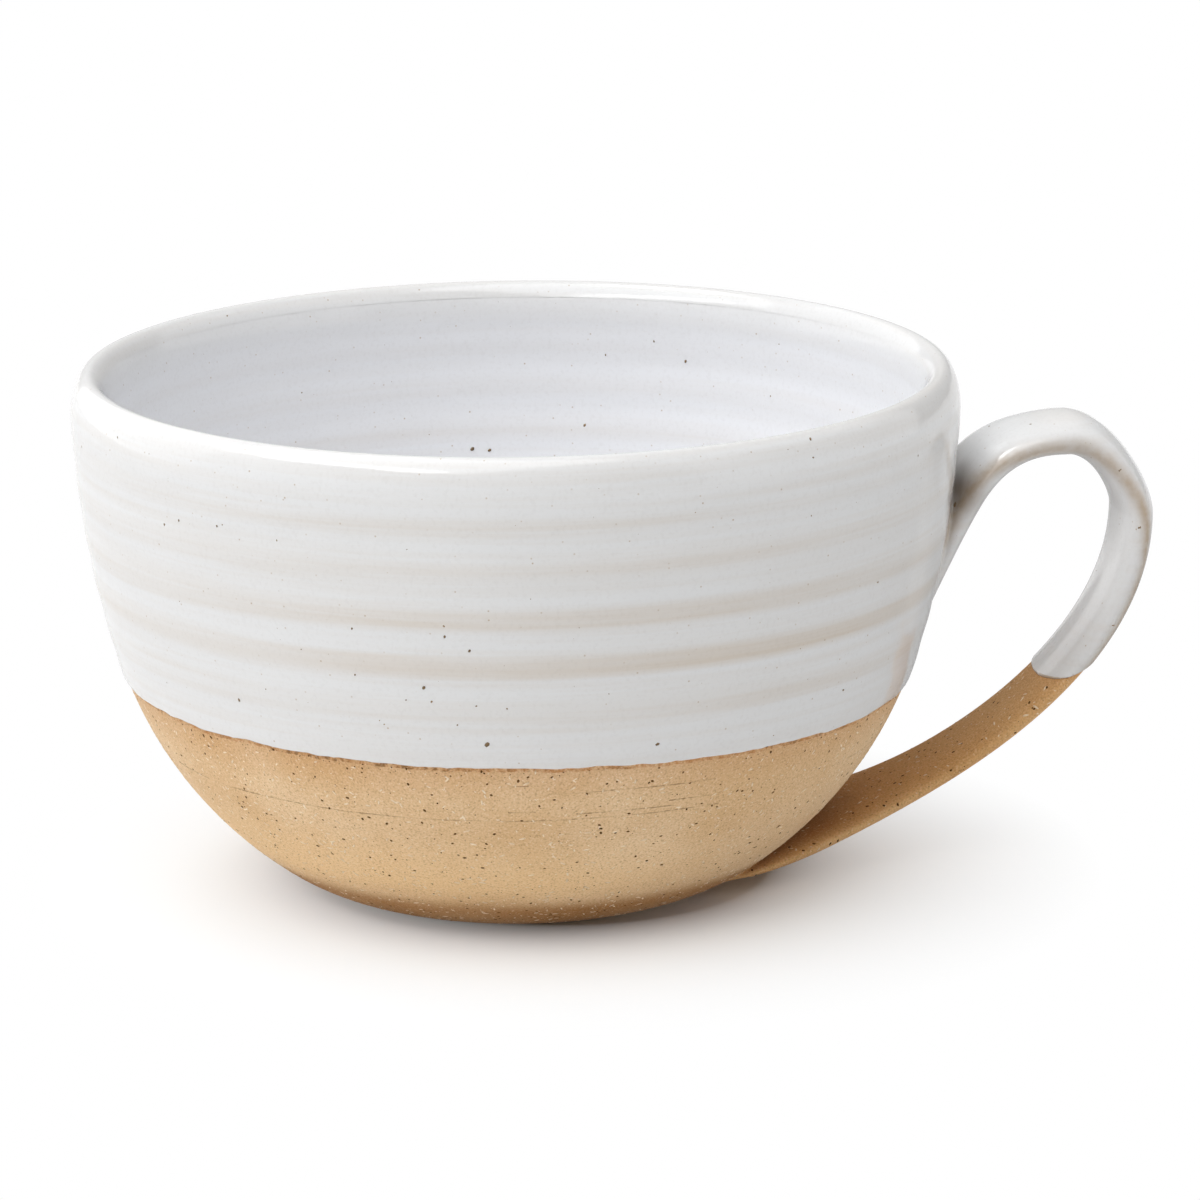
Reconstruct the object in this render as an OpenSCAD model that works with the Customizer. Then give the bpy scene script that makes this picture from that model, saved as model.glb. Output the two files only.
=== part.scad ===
// Soup mug: a wheel-thrown stoneware bowl with a pulled strap handle,
// dipped in a pale glaze down to a level line and left as bare clay below it.
// Millimetres, +Z up, the foot stands on Z = 0 and the handle points to +X.

/* [Bowl] */
// Diameter over the glazed rim
rim_d = 132; // [120:1:144]
// Height from the table to the crown of the lip
bowl_h = 78.7; // [72:0.1:88]
// Diameter of the foot where it meets the table
foot_d = 52.4; // [46:0.2:58]
// Radius of the heel, the first curve above the foot
heel_r = 29; // [25:0.5:34]
// Slope of the flank where it leaves the foot, degrees from level
foot_slope = 10.8; // [8:0.2:15]
// Slope where the heel turns into the belly, degrees from level
heel_slope = 35.6; // [32:0.2:40]
// Slope where the belly turns into the upper wall, degrees from level
belly_slope = 73.8; // [70:0.2:78]
// Slope of the wall just below the lip, degrees from level
rim_slope = 88; // [84:0.2:89]
// Height of the rounded lip
lip_h = 6.5; // [4:0.1:8]
// Thickness of the glazed lip, measured across
lip_t = 5.5; // [4.4:0.1:7]
// Thickness of the floor above the table
floor_t = 6; // [5:0.1:8]
// Diameter of the level floor inside
floor_d = 40; // [32:1:46]
// Radius of the curve between the floor and the inner wall
floor_r = 25; // [20:0.5:30]
// Width of the standing ring under the foot
foot_ring_w = 7; // [4:0.5:12]
// Depth of the trimmed hollow inside the standing ring
foot_hollow = 1; // [0.4:0.1:2]
// Height from one throwing ring to the next
ring_pitch = 7.1; // [5:0.1:10]
// Depth of the topmost ring below the crown of the lip
ring_drop = 9; // [7:0.5:14]
// Depth of the throwing rings, which the glaze breaks over
ring_depth = 0.15; // [0.05:0.05:0.25]

/* [Glaze] */
// Thickness of the fired glaze
glaze_t = 0.4; // [0.3:0.05:0.8]
// Depth of the dip line on the bowl below the crown of the lip
dip_drop = 46.4; // [44:0.2:54]
// Depth of the dip line on the handle below the crown of the lip
handle_dip_drop = 50.2; // [45:0.2:56]
// How far the dip coat wraps over the lip, degrees from the outer edge
lip_wrap = 140; // [90:5:170]

/* [Handle] */
// Height where the upper end leaves the wall, below the crown of the lip
root_drop = 39.7; // [35:0.1:42]
// Depth of the upper end's centreline inside the wall
root_sink = 0.8; // [0.4:0.1:1.6]
// Lean of the upper end, degrees from upright
root_lean = 22; // [16:1:28]
// Pull of the upper end along its lean
root_pull = 18; // [12:0.5:24]
// Depth of the crest of the centreline below the crown of the lip
crest_drop = 13.7; // [9:0.1:18]
// Distance of the crest beyond the rim
crest_out = 17.5; // [12:0.5:22]
// Pull of the curve before the crest
crest_pull_in = 15; // [10:0.5:20]
// Pull of the curve after the crest
crest_pull_out = 5.2; // [3:0.1:9]
// Reach of the centreline beyond the rim
reach = 28; // [24:0.2:36]
// Depth of the farthest point below the crown of the lip
reach_drop = 26.1; // [22:0.1:32]
// Pull of the curve above the farthest point
reach_pull_up = 3.8; // [2:0.1:8]
// Pull of the curve below the farthest point
reach_pull_down = 27; // [20:0.5:34]
// Height where the tail's centreline ends inside the heel
tail_z = 2.4; // [2.2:0.1:4]
// Distance of the tail's end beyond the edge of the foot
tail_out = 5.5; // [3:0.5:9]
// Rise of the tail where it leaves the heel, degrees
tail_rise = 8; // [4:1:16]
// Pull of the tail along its rise
tail_pull = 24; // [16:0.5:30]
// Width of the upper end's feathered tip
root_tip_w = 10; // [6:0.5:14]
// Width of the strap where it leaves the wall
root_w = 22; // [16:0.5:28]
// Width of the strap along its middle
strap_w = 15.5; // [13:0.5:20]
// Width that the tail fans out to
tail_w = 68; // [52:0.5:72]
// Thickness of the upper end's feathered tip
root_tip_t = 2; // [1.4:0.1:3]
// Thickness of the strap where it leaves the wall
root_t = 4.6; // [4:0.1:6.5]
// Thickness of the strap along its middle
strap_t = 4.6; // [3.6:0.1:6]
// Thickness of the tail
tail_t = 3.8; // [2.8:0.1:4.2]
// Thickness of the tail's pressed tip
tail_tip_t = 1.6; // [1:0.1:2.4]

/* [Joints] */
// Thickness of the slip that bonds the handle to the bowl
slip_t = 0.4; // [0.3:0.05:0.8]
// Spread of the slip past the handle's upper end
slip_margin = 2.5; // [1:0.1:4]
// Length of the tail's joint up the heel
tail_seat = 7; // [5:0.5:9]
// Half angle of the tail's joint, seen from above
tail_seat_angle = 25; // [16:1:28]

/* [Hidden] */
$fn = 96;

clay = "#c9a06c";
slip = "#b58a58";
white_glaze = "#e6e3de";

lip_z = bowl_h - lip_h;
dip_z = bowl_h - dip_drop;
handle_dip_z = bowl_h - handle_dip_drop;
rim_r = rim_d / 2;
foot_r = foot_d / 2;
clay_steps = 10;
glaze_steps = 32;
lip_steps = 16;

// Points [radius, height, slope] along an arc that starts at p
function arc(p, r, a0, a1, steps) = [for (i = [1:steps])
    let (a = a0 + (a1 - a0) * i / steps)
    [p[0] + r * (sin(a) - sin(a0)), p[1] + r * (cos(a0) - cos(a)), a]];

// A bowl's curve from p0 to p1 in three tangent arcs. The first has radius r,
// and the other two take the radii that bring the curve to p1.
function bowl_curve(p0, p1, r, a, steps) =
    let (dx = p1[0] - p0[0] - r * (sin(a[1]) - sin(a[0])),
         dz = p1[1] - p0[1] - r * (cos(a[0]) - cos(a[1])),
         sx = sin(a[2]) - sin(a[1]),
         sz = cos(a[1]) - cos(a[2]),
         tx = sin(a[3]) - sin(a[2]),
         tz = cos(a[2]) - cos(a[3]),
         det = sx * tz - tx * sz,
         heel = concat([[p0[0], p0[1], a[0]]], arc(p0, r, a[0], a[1], steps)),
         belly = arc(heel[steps], (dx * tz - tx * dz) / det, a[1], a[2], steps))
    concat(heel, belly, arc(belly[steps - 1], (sx * dz - dx * sz) / det, a[2], a[3], steps));

// Throwing rings, which fade in above the dip line and out below the lip
function ripple(z) = (1 - cos(360 * (bowl_h - ring_drop - z) / ring_pitch)) / 2
    * max(0, min(1, (z - dip_z) / ring_pitch, (lip_z - z) / ring_pitch));

// The curve pressed in by its rings, to one side of it
function ringed(curve, side) = [for (p = curve)
    let (d = side * ring_depth * ripple(p[1]))
    [p[0] - d * sin(p[2]), p[1] + d * cos(p[2]), p[2]]];

// The curve moved by t along its normal, towards the inside of the bowl
function inward(curve, t) = [for (p = curve) [p[0] - t * sin(p[2]), p[1] + t * cos(p[2])]];

function outer_curve(steps) = bowl_curve([foot_r, 0], [rim_r - glaze_t, lip_z], heel_r,
    [foot_slope, heel_slope, belly_slope, rim_slope], steps);

function inner_curve(steps) = bowl_curve([floor_d / 2, floor_t], [rim_r - lip_t + glaze_t, lip_z], floor_r,
    [0, heel_slope, belly_slope, rim_slope], steps);

outer_clay = outer_curve(clay_steps);
inner_clay = inner_curve(clay_steps);
outer_rings = ringed(outer_curve(glaze_steps), 1);
inner_rings = ringed(inner_curve(glaze_steps), -1);
wall_table = [for (p = outer_clay) [p[1], p[0]]];

// Radius of the clay's outside at height z
function wall_r(z) = lookup(z, wall_table);

// An oval over the lip between two angles, from outside to inside, grown by g
function lip_arc(g, a0, a1) =
    let (mid = rim_r - lip_t / 2)
    [for (i = [0:lip_steps])
        let (a = a0 + (a1 - a0) * i / lip_steps)
        [mid + (lip_t / 2 - glaze_t + g) * cos(a), lip_z + (lip_h - glaze_t + g) * sin(a)]];

function flat(curve) = [for (p = curve) [p[0], p[1]]];

function reversed(list) = [for (i = [len(list) - 1:-1:0]) list[i]];

// Everything inside the bowl's outside, grown by g along its normal
module filled_bowl(g) {
    rotate_extrude()
        polygon(concat([[0, -foot_hollow], [foot_r, -foot_hollow]], inward(outer_clay, -g), [[0, lip_z]]));
}

// A cubic curve's point and direction at t
function cubic(p, t) = pow(1 - t, 3) * p[0] + 3 * pow(1 - t, 2) * t * p[1]
    + 3 * (1 - t) * t * t * p[2] + pow(t, 3) * p[3];

function cubic_slope(p, t) = pow(1 - t, 2) * (p[1] - p[0])
    + 2 * (1 - t) * t * (p[2] - p[1]) + t * t * (p[3] - p[2]);

root_z = bowl_h - root_drop;
root = [wall_r(root_z) - root_sink, root_z];
crest = [rim_r + crest_out, bowl_h - crest_drop];
far = [rim_r + reach, bowl_h - reach_drop];
tail = [foot_r + tail_out, tail_z];
rise = [root, root + root_pull * [sin(root_lean), cos(root_lean)], crest - [crest_pull_in, 0], crest];
turn = [crest, crest + [crest_pull_out, 0], far + [0, reach_pull_up], far];
drop = [far, far - [0, reach_pull_down], tail + tail_pull * [cos(tail_rise), sin(tail_rise)], tail];

// Shares of the curves where the tip is feathered and the tail is pressed on, the fan's
// flare, how far its end is rounded, and how full the oval section is
feather_share = 0.45;
press_share = 0.8;
flare_power = 6.5;
end_share = 0.7;
oval_power = 2.5;
rise_steps = 16;
turn_steps = 10;
drop_steps = 22;
sides = 24;

// Width or thickness along the rise: from the tip to the full size, then to the middle's
function swell(t, tip, full, middle) = tip + (full - tip) * sin(90 * min(1, t / feather_share))
    + (middle - full) * max(0, (t - feather_share) / (1 - feather_share));

// How far the tail is pressed on, from 0 where that starts to 1 at its tip
function pressed(t) = pow(max(0, (t - press_share) / (1 - press_share)), 2);

// Width along the drop, which flares into a fan with a rounded end
function fanned(t) = (strap_w + (tail_w - strap_w) * pow(t, flare_power)) * sqrt(1 - end_share * pressed(t));

// Thickness along the drop, thinned where the tail is pressed on
function thinned(t) = strap_t + (tail_t - strap_t) * t - (tail_t - tail_tip_t) * pressed(t);

// Stations along the strap: centre, direction, width and thickness
stations = concat(
    [for (i = [0:rise_steps])
        let (t = i / rise_steps)
        [cubic(rise, t), cubic_slope(rise, t),
         swell(t, root_tip_w, root_w, strap_w), swell(t, root_tip_t, root_t, strap_t)]],
    [for (i = [1:turn_steps])
        let (t = i / turn_steps)
        [cubic(turn, t), cubic_slope(turn, t), strap_w, strap_t]],
    [for (i = [1:drop_steps])
        let (t = i / drop_steps)
        [cubic(drop, t), cubic_slope(drop, t), fanned(t), thinned(t)]]);

// A sine or cosine pushed outwards, which gives an oval with fuller edges
function fuller(v) = sign(v) * pow(abs(v), 2 / oval_power);

// One oval ring of the strap, bent round the bowl's axis and grown by g
function ring(s, g) =
    let (d = s[1] / norm(s[1]))
    [for (k = [0:sides - 1])
        let (a = 360 * k / sides,
             n = (s[3] / 2 + g) * fuller(sin(a)),
             x = s[0][0] - d[1] * n,
             bend = (s[2] / 2 + g) * fuller(cos(a)) / s[0][0] * 180 / PI)
        [x * cos(bend), x * sin(bend), s[0][1] + d[0] * n]];

// Triangles between neighbouring rings
function skin(rows) = [for (i = [0:rows - 2], k = [0:sides - 1])
    let (a = i * sides + k, b = i * sides + (k + 1) % sides)
    each [[a, b, b + sides], [a, b + sides, a + sides]]];

// The whole strap before the bowl is cut away from its ends
module strap() {
    rows = len(stations);
    tips = [for (s = [stations[0], stations[rows - 1]]) [s[0][0], 0, s[0][1]]];
    points = concat([for (s = stations) each ring(s, 0)], tips);
    caps = [for (k = [0:sides - 1])
        let (next = (k + 1) % sides, last = (rows - 1) * sides)
        each [[k, rows * sides, next], [last + k, last + next, rows * sides + 1]]];
    polyhedron(points, concat(skin(rows), caps));
}

// A sleeve of glaze round the strap, open at both ends
module sleeve() {
    glazed = [for (s = stations) if (s[0][1] > handle_dip_z - strap_w / 2) s];
    rows = len(glazed);
    size = rows * sides;
    points = concat([for (s = glazed) each ring(s, glaze_t)], [for (s = glazed) each ring(s, 0)]);
    bore = [for (f = skin(rows)) [f[0] + size, f[2] + size, f[1] + size]];
    ends = [for (k = [0:sides - 1])
        let (next = (k + 1) % sides, a = size - sides + k, b = size - sides + next)
        each [[k, k + size, next], [next, k + size, next + size],
              [a, b, a + size], [b, b + size, a + size]]];
    polyhedron(points, concat(skin(rows), bore, ends));
}

// Slab that holds everything above height z
module above(z) {
    translate([-rim_d, -rim_d, z]) cube([3 * rim_d, 2 * rim_d, 2 * bowl_h]);
}

// Block over the part of the wall that the handle's upper end covers
module upper_seat() {
    w = root_w + 2 * slip_margin;
    low = root_z - slip_margin;
    high = crest[1] - strap_t;
    translate([0, 0, low + w / 2]) rotate([90, 0, 90]) linear_extrude(rim_d) {
        circle(d = w);
        translate([-w / 2, 0]) square([w, high - low - w / 2]);
    }
}

// Block over the part of the heel that the fanned tail covers
module lower_seat() {
    side = rim_d * [cos(tail_seat_angle), sin(tail_seat_angle)];
    linear_extrude(dip_z) intersection() {
        difference() {
            circle(r = tail[0] + tail_seat);
            circle(r = tail[0]);
        }
        polygon([[0, 0], [side[0], -side[1]], side]);
    }
}

// Skin of slip over the bowl's outside
module slip_skin() {
    difference() {
        filled_bowl(slip_t);
        filled_bowl(0);
    }
}

// The bowl, thrown and trimmed, with a hollow under its foot
module thrown_bowl() {
    color(clay) rotate_extrude()
        polygon(concat([[0, foot_hollow], [foot_r - foot_ring_w - foot_hollow, foot_hollow],
                        [foot_r - foot_ring_w, 0]],
                       flat(outer_clay), lip_arc(0, 0, 180), reversed(flat(inner_clay)), [[0, floor_t]]));
}

// The handle, pulled to a tapering strap and set on the bowl's wall and heel
module pulled_handle() {
    color(clay) difference() {
        strap();
        filled_bowl(slip_t);
    }
}

// Slip under the handle's upper end
module upper_joint_slip() {
    color(slip) intersection() {
        slip_skin();
        upper_seat();
    }
}

// Slip under the handle's tail
module lower_joint_slip() {
    color(slip) intersection() {
        slip_skin();
        lower_seat();
    }
}

// Glaze from the dip line up the outside and over the lip, open where the handle is joined
module outer_glaze() {
    color(white_glaze) difference() {
        intersection() {
            rotate_extrude()
                polygon(concat(flat(outer_clay), lip_arc(0, 0, lip_wrap),
                               lip_arc(glaze_t, lip_wrap, 0), reversed(inward(outer_rings, -glaze_t))));
            above(dip_z);
        }
        upper_seat();
    }
}

// Glaze poured into the bowl
module liner_glaze() {
    color(white_glaze) rotate_extrude()
        polygon(concat([[0, floor_t]], flat(inner_clay), reversed(lip_arc(0, lip_wrap, 180)),
                       lip_arc(glaze_t, lip_wrap, 180), reversed(inward(inner_rings, glaze_t)),
                       [[0, floor_t + glaze_t]]));
}

// Glaze round the handle above its own dip line
module handle_glaze() {
    color(white_glaze) difference() {
        intersection() {
            sleeve();
            above(handle_dip_z);
        }
        filled_bowl(max(glaze_t, slip_t));
    }
}

thrown_bowl();
pulled_handle();
upper_joint_slip();
lower_joint_slip();
outer_glaze();
liner_glaze();
handle_glaze();
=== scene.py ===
"""Soup mug: the glazed and bare stoneware surfaces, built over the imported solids."""

import math
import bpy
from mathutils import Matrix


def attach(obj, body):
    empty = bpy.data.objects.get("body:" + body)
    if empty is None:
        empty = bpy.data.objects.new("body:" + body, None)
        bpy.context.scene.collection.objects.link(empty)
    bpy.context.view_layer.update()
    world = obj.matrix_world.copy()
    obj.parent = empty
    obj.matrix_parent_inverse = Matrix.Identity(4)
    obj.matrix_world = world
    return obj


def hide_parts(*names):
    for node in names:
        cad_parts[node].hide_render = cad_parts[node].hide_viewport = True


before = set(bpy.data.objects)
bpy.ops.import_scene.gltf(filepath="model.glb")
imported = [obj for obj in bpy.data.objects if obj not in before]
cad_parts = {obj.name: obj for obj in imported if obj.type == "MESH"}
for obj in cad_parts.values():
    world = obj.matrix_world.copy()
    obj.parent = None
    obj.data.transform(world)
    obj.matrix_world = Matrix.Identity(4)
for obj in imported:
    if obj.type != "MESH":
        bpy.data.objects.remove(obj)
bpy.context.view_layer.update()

from types import SimpleNamespace

import bpy
import numpy as np
from mathutils import Matrix, Vector

bl_info = {
    "name": "Soup Mug",
    "version": (1, 0, 0),
    "blender": (4, 5, 0),
    "location": "3D View > Sidebar > Mug",
    "description": "Builds a wheel-thrown stoneware soup mug with a pulled handle and a dipped glaze",
    "category": "Object",
}

BODY = "root"
MM = 0.001
SEED = 7
# How close the rows of a thrown curve lie, and how far a coat reaches into what it covers, in millimetres
ROW_SPACING, OVERLAP = 0.6, 0.05
# Faces round a turned piece
SEGMENTS = 440
# A distance above the dip line at which nothing of its edge shows, in metres
CLEAR = 0.02
# How the coats dive under each other on the lip: depth in millimetres and angle past the meeting line
LIP_LAP = ((0.002, 0.02), (0.012, 0.05), (0.06, 0.09), (0.3, 0.11))
# Index of refraction of fired clay and glaze
FIRED_IOR = 1.5


def length(name, description, millimetres):
    """A size property that is written in millimetres and kept in metres."""
    return bpy.props.FloatProperty(name=name, description=description, default=millimetres * MM,
                                   unit="LENGTH", subtype="DISTANCE", precision=5)


def angle(name, description, degrees):
    """An angle property that is written in degrees and kept in radians."""
    return bpy.props.FloatProperty(name=name, description=description, default=math.radians(degrees),
                                   unit="ROTATION", subtype="ANGLE")


def linear(code):
    """An sRGB hex colour as a linear RGBA tuple."""
    parts = [int(code[i:i + 2], 16) / 255 for i in (1, 3, 5)]
    return (*[p / 12.92 if p <= 0.04045 else ((p + 0.055) / 1.055) ** 2.4 for p in parts], 1.0)


def colour(name, description, code):
    """A colour property that is written as an sRGB hex value."""
    return bpy.props.FloatVectorProperty(name=name, description=description, default=linear(code),
                                         size=4, min=0.0, max=1.0, subtype="COLOR")


class BowlSizes(bpy.types.PropertyGroup):
    rim_diameter: length("Rim diameter", "Over the glazed rim", 132)
    height: length("Height", "From the table to the crown of the lip", 78.7)
    foot_diameter: length("Foot diameter", "Where the foot meets the table", 52.4)
    heel_radius: length("Heel radius", "Radius of the first curve above the foot", 29)
    foot_slope: angle("Foot slope", "Slope of the flank where it leaves the foot", 10.8)
    heel_slope: angle("Heel slope", "Slope where the heel turns into the belly", 35.6)
    belly_slope: angle("Belly slope", "Slope where the belly turns into the upper wall", 73.8)
    rim_slope: angle("Rim slope", "Slope of the wall just below the lip", 88)
    lip_height: length("Lip height", "Height of the rounded lip", 6.5)
    lip_thickness: length("Lip thickness", "Thickness of the glazed lip", 5.5)
    floor_thickness: length("Floor thickness", "From the table to the clay floor", 6)
    floor_diameter: length("Floor diameter", "Diameter of the level floor inside", 40)
    floor_radius: length("Floor curve", "Radius of the curve between floor and wall", 25)
    foot_ring_width: length("Foot ring width", "Width of the standing ring", 7)
    foot_hollow: length("Foot hollow", "Depth of the hollow inside the standing ring", 1)
    foot_round: length("Foot edge", "Radius of the softened edges of the foot", 0.7)
    ring_pitch: length("Ring pitch", "Height from one throwing ring to the next", 7.1)
    ring_height: length("Ring height", "Height of one of the throwing rings", 48.4)
    ring_depth: length("Ring depth", "Depth of the throwing rings", 0.11)


class GlazeSettings(bpy.types.PropertyGroup):
    thickness: length("Thickness", "Thickness of the fired glaze", 0.4)
    dip_height: length("Dip height", "Height of the dip line on the bowl", 32.3)
    dip_tilt: length("Dip tilt", "How far the dip line drops towards the handle", -0.9)
    dip_wave: length("Dip wave", "Unevenness of the dip line", 0.5)
    handle_dip_height: length("Handle dip height", "Height of the dip line on the handle", 28.5)
    lip_wrap: angle("Lip wrap", "How far the dip coat wraps over the lip", 140)
    white: colour("White", "The glaze where it is thick", "#dfdfdf")
    liner_white: colour("Liner white", "The liner where it is thick", "#e7e8eb")
    thin: colour("Thin glaze", "The glaze where clay shows through it", "#cfc4b7")
    # Painted light: this white stands in for light on the inside of the handle's arm and over its shoulder
    painted_light_white: colour("Milky glaze", "The glaze where it ran thickest", "#f2f3f4")
    rust: colour("Breaking edge", "The glaze where it breaks over an edge", "#a5885f")
    # Also painted shade: this brown darkens the recesses beside the handle's upper joint, besides the pooled glaze and
    # the grey mottle
    pooled_and_shaded: colour("Pooled glaze", "The glaze where it gathers in a hollow", "#6e573c")
    iron: colour("Iron spots", "Spots of iron that melt into the glaze", "#3d2a1c")


class HandleSizes(bpy.types.PropertyGroup):
    root_drop: length("Root drop", "Upper end below the crown of the lip", 45)
    root_sink: length("Root sink", "Depth of the upper end inside the wall", 0.8)
    root_lean: angle("Root lean", "Lean of the upper end from upright", 20)
    root_pull: length("Root pull", "Pull of the upper end along its lean", 23.5)
    crest_drop: length("Crest drop", "Crest below the crown of the lip", 13.7)
    crest_out: length("Crest out", "Crest beyond the rim", 17.5)
    crest_pull_in: length("Crest pull in", "Pull of the curve before the crest", 15)
    crest_pull_out: length("Crest pull out", "Pull of the curve after the crest", 5.2)
    reach: length("Reach", "Farthest point beyond the rim", 28)
    reach_drop: length("Reach drop", "Farthest point below the crown of the lip", 26.1)
    reach_pull_up: length("Reach pull up", "Pull above the farthest point", 3.8)
    reach_pull_down: length("Reach pull down", "Pull below the farthest point", 27)
    tail_height: length("Tail height", "Height where the tail ends", 2.4)
    tail_out: length("Tail out", "End of the tail beyond the foot", 5.5)
    tail_rise: angle("Tail rise", "Rise of the tail where it leaves the heel", 8)
    tail_pull: length("Tail pull", "Pull of the tail along its rise", 24)
    root_tip_width: length("Root tip width", "Width of the feathered tip", 10)
    root_width: length("Root width", "Width where the strap leaves the wall", 22)
    strap_width: length("Strap width", "Width along the middle", 15.5)
    tail_width: length("Tail width", "Width that the tail fans out to", 68)
    root_tip_thickness: length("Root tip thickness", "Thickness of the feathered tip", 2)
    root_thickness: length("Root thickness", "Thickness where the strap leaves the wall", 4.6)
    strap_thickness: length("Strap thickness", "Thickness along the middle", 4.6)
    tail_thickness: length("Tail thickness", "Thickness of the tail", 3.8)
    tail_tip_thickness: length("Tail tip thickness", "Thickness of the pressed tip", 1.6)
    crest_swell: length("Crest swell", "How much thicker the strap is over its crest", 0.8)
    root_fillet: length("Root fillet", "Radius of the smoothed upper joint", 4.5)
    tail_fillet: length("Tail fillet", "Radius of the smeared lower joint", 5)


class ClaySettings(bpy.types.PropertyGroup):
    light: colour("Light clay", "Bare stoneware where it is palest", "#e3c49c")
    dark: colour("Dark clay", "Bare stoneware where it is darkest", "#d5ae7d")
    handle_light: colour("Light handle clay", "Bare handle where it is palest", "#e6ba82")
    handle_dark: colour("Dark handle clay", "Bare handle where it is darkest", "#d8a76b")
    # Painted shade: this brown darkens the clay near the foot, on the handle's finger side and in its crease
    painted_shade_clay: colour("Toasted clay", "Clay where the flame browned it", "#ad7b43")
    # Partly painted light: the heel is painted paler on its lit side
    scraped_and_lit: colour("Scraped clay", "Clay where the heel was scraped smooth", "#f1cd9a")
    grog: colour("Grog", "Pale grains in the clay", "#fff0d6")
    speck: colour("Specks", "Dark grains and pits in the clay", "#2c1b0f")
    umber: colour("Umber", "Shadowed sand and the walls of pits", "#8a6438")
    flash: colour("Flashing", "Toasted line along the edge of the glaze", "#b97a3d")


class StageSettings(bpy.types.PropertyGroup):
    elevation: angle("Elevation", "Camera's height above the horizon", 14.35)
    turn: angle("Turn", "Camera's turn from the front, towards the handle's far side", -8)
    roll: angle("Roll", "Camera's roll", -0.5)
    distance: length("Distance", "From the camera to what it looks at", 828.4)
    focal: bpy.props.FloatProperty(name="Focal length", description="In millimetres on a 36 mm sensor",
                                   default=165.65)
    aim_along: length("Aim along", "Aim to the right of the bowl's axis", 12.26)
    aim_height: length("Aim height", "Height of the aim", 42.2)
    floor_size: length("Floor size", "Side of the floor", 6000)
    floor_tone: colour("Floor", "Colour of the floor near the mug", "#f3f4f5")


GROUPS = {"mug_bowl": BowlSizes, "mug_glaze": GlazeSettings, "mug_handle": HandleSizes,
          "mug_clay": ClaySettings, "mug_stage": StageSettings}


def own_names(group):
    """The names of a settings group's own properties."""
    return [name for name in group.bl_rna.properties.keys() if name not in ("rna_type", "name")]


def millimetres(group):
    """A settings group's lengths in millimetres and its angles in radians, by name."""
    values = {}
    for name in own_names(group):
        value = getattr(group, name)
        values[name] = value / MM if group.bl_rna.properties[name].unit == "LENGTH" else value
    return SimpleNamespace(**values)


def settings():
    """The sizes of the bowl, the glaze and the handle, in millimetres."""
    scene = bpy.context.scene
    return millimetres(scene.mug_bowl), millimetres(scene.mug_glaze), millimetres(scene.mug_handle)


def linked(name, data):
    """A new object in the scene."""
    thing = bpy.data.objects.new(name, data)
    bpy.context.scene.collection.objects.link(thing)
    return thing


def mark(mesh, key, values):
    """Keeps a number or a vector for each point of a mesh under a name."""
    values = np.asarray(values, np.float32)
    kind, field = ("FLOAT", "value") if values.ndim == 1 else ("FLOAT_VECTOR", "vector")
    mesh.attributes.new(key, kind, "POINT").data.foreach_set(field, values.ravel())


def add(tree, kind, sockets=None, **options):
    """Adds a node to a tree, sets it up and fills or links its inputs."""
    node = tree.nodes.new(kind)
    for name, value in options.items():
        setattr(node, name, value)
    for key, value in (sockets or {}).items():
        if isinstance(value, bpy.types.Node):
            value = next(out for out in value.outputs if out.enabled)
        if isinstance(value, bpy.types.NodeSocket):
            tree.links.new(value, node.inputs[key])
        else:
            node.inputs[key].default_value = value
    return node


# Kinds of node that are used often
MATH, RAMP, MIX, VECTOR = "ShaderNodeMath", "ShaderNodeMapRange", "ShaderNodeMix", "ShaderNodeVectorMath"
NOISE, CELLS = "ShaderNodeTexNoise", "ShaderNodeTexVoronoi"
FIELD, STORE = "GeometryNodeInputNamedAttribute", "GeometryNodeStoreNamedAttribute"


# Curves of the bowl

def thrown_curve(start, end, first_radius, slopes):
    """Three tangent arcs from start to end as rows of radius, height and slope."""
    s, c = np.sin(slopes), np.cos(slopes)
    ds, dc = np.diff(s), -np.diff(c)
    left = (end[0] - start[0] - first_radius * ds[0], end[1] - start[1] - first_radius * dc[0])
    second, third = np.linalg.solve([[ds[1], ds[2]], [dc[1], dc[2]]], left)
    rows = [(start[0], start[1], slopes[0])]
    for radius, low, high in zip((first_radius, second, third), slopes[:-1], slopes[1:]):
        r0, z0, _ = rows[-1]
        count = max(2, round(radius * (high - low) / ROW_SPACING))
        for a in np.linspace(low, high, count + 1)[1:]:
            rows.append((r0 + radius * (math.sin(a) - math.sin(low)),
                         z0 + radius * (math.cos(low) - math.cos(a)), a))
    return np.array(rows)


def bowl_curves(bowl, glaze):
    """The clay's outer and inner curves, from the foot and the floor up to the lip."""
    lip = bowl.height - bowl.lip_height
    rim, t = bowl.rim_diameter / 2, glaze.thickness
    slopes = [bowl.heel_slope, bowl.belly_slope, bowl.rim_slope]
    outer = thrown_curve((bowl.foot_diameter / 2, 0), (rim - t, lip), bowl.heel_radius,
                         np.array([bowl.foot_slope, *slopes]))
    inner = thrown_curve((bowl.floor_diameter / 2, bowl.floor_thickness),
                         (rim - bowl.lip_thickness + t, lip), bowl.floor_radius,
                         np.array([0.0, *slopes]))
    return outer, inner


def moved(curve, distance):
    """A curve of radius, height and slope moved outwards along its normal."""
    return np.column_stack([curve[:, 0] + distance * np.sin(curve[:, 2]),
                            curve[:, 1] - distance * np.cos(curve[:, 2])])


def lip_oval(bowl, glaze, grown, start, end, count):
    """Points over the lip between two angles, from outside to inside."""
    mid = bowl.rim_diameter / 2 - bowl.lip_thickness / 2
    a = np.linspace(start, end, count)
    shrink = grown - glaze.thickness
    return np.column_stack([mid + (bowl.lip_thickness / 2 + shrink) * np.cos(a),
                            bowl.height - bowl.lip_height + (bowl.lip_height + shrink) * np.sin(a)])


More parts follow.
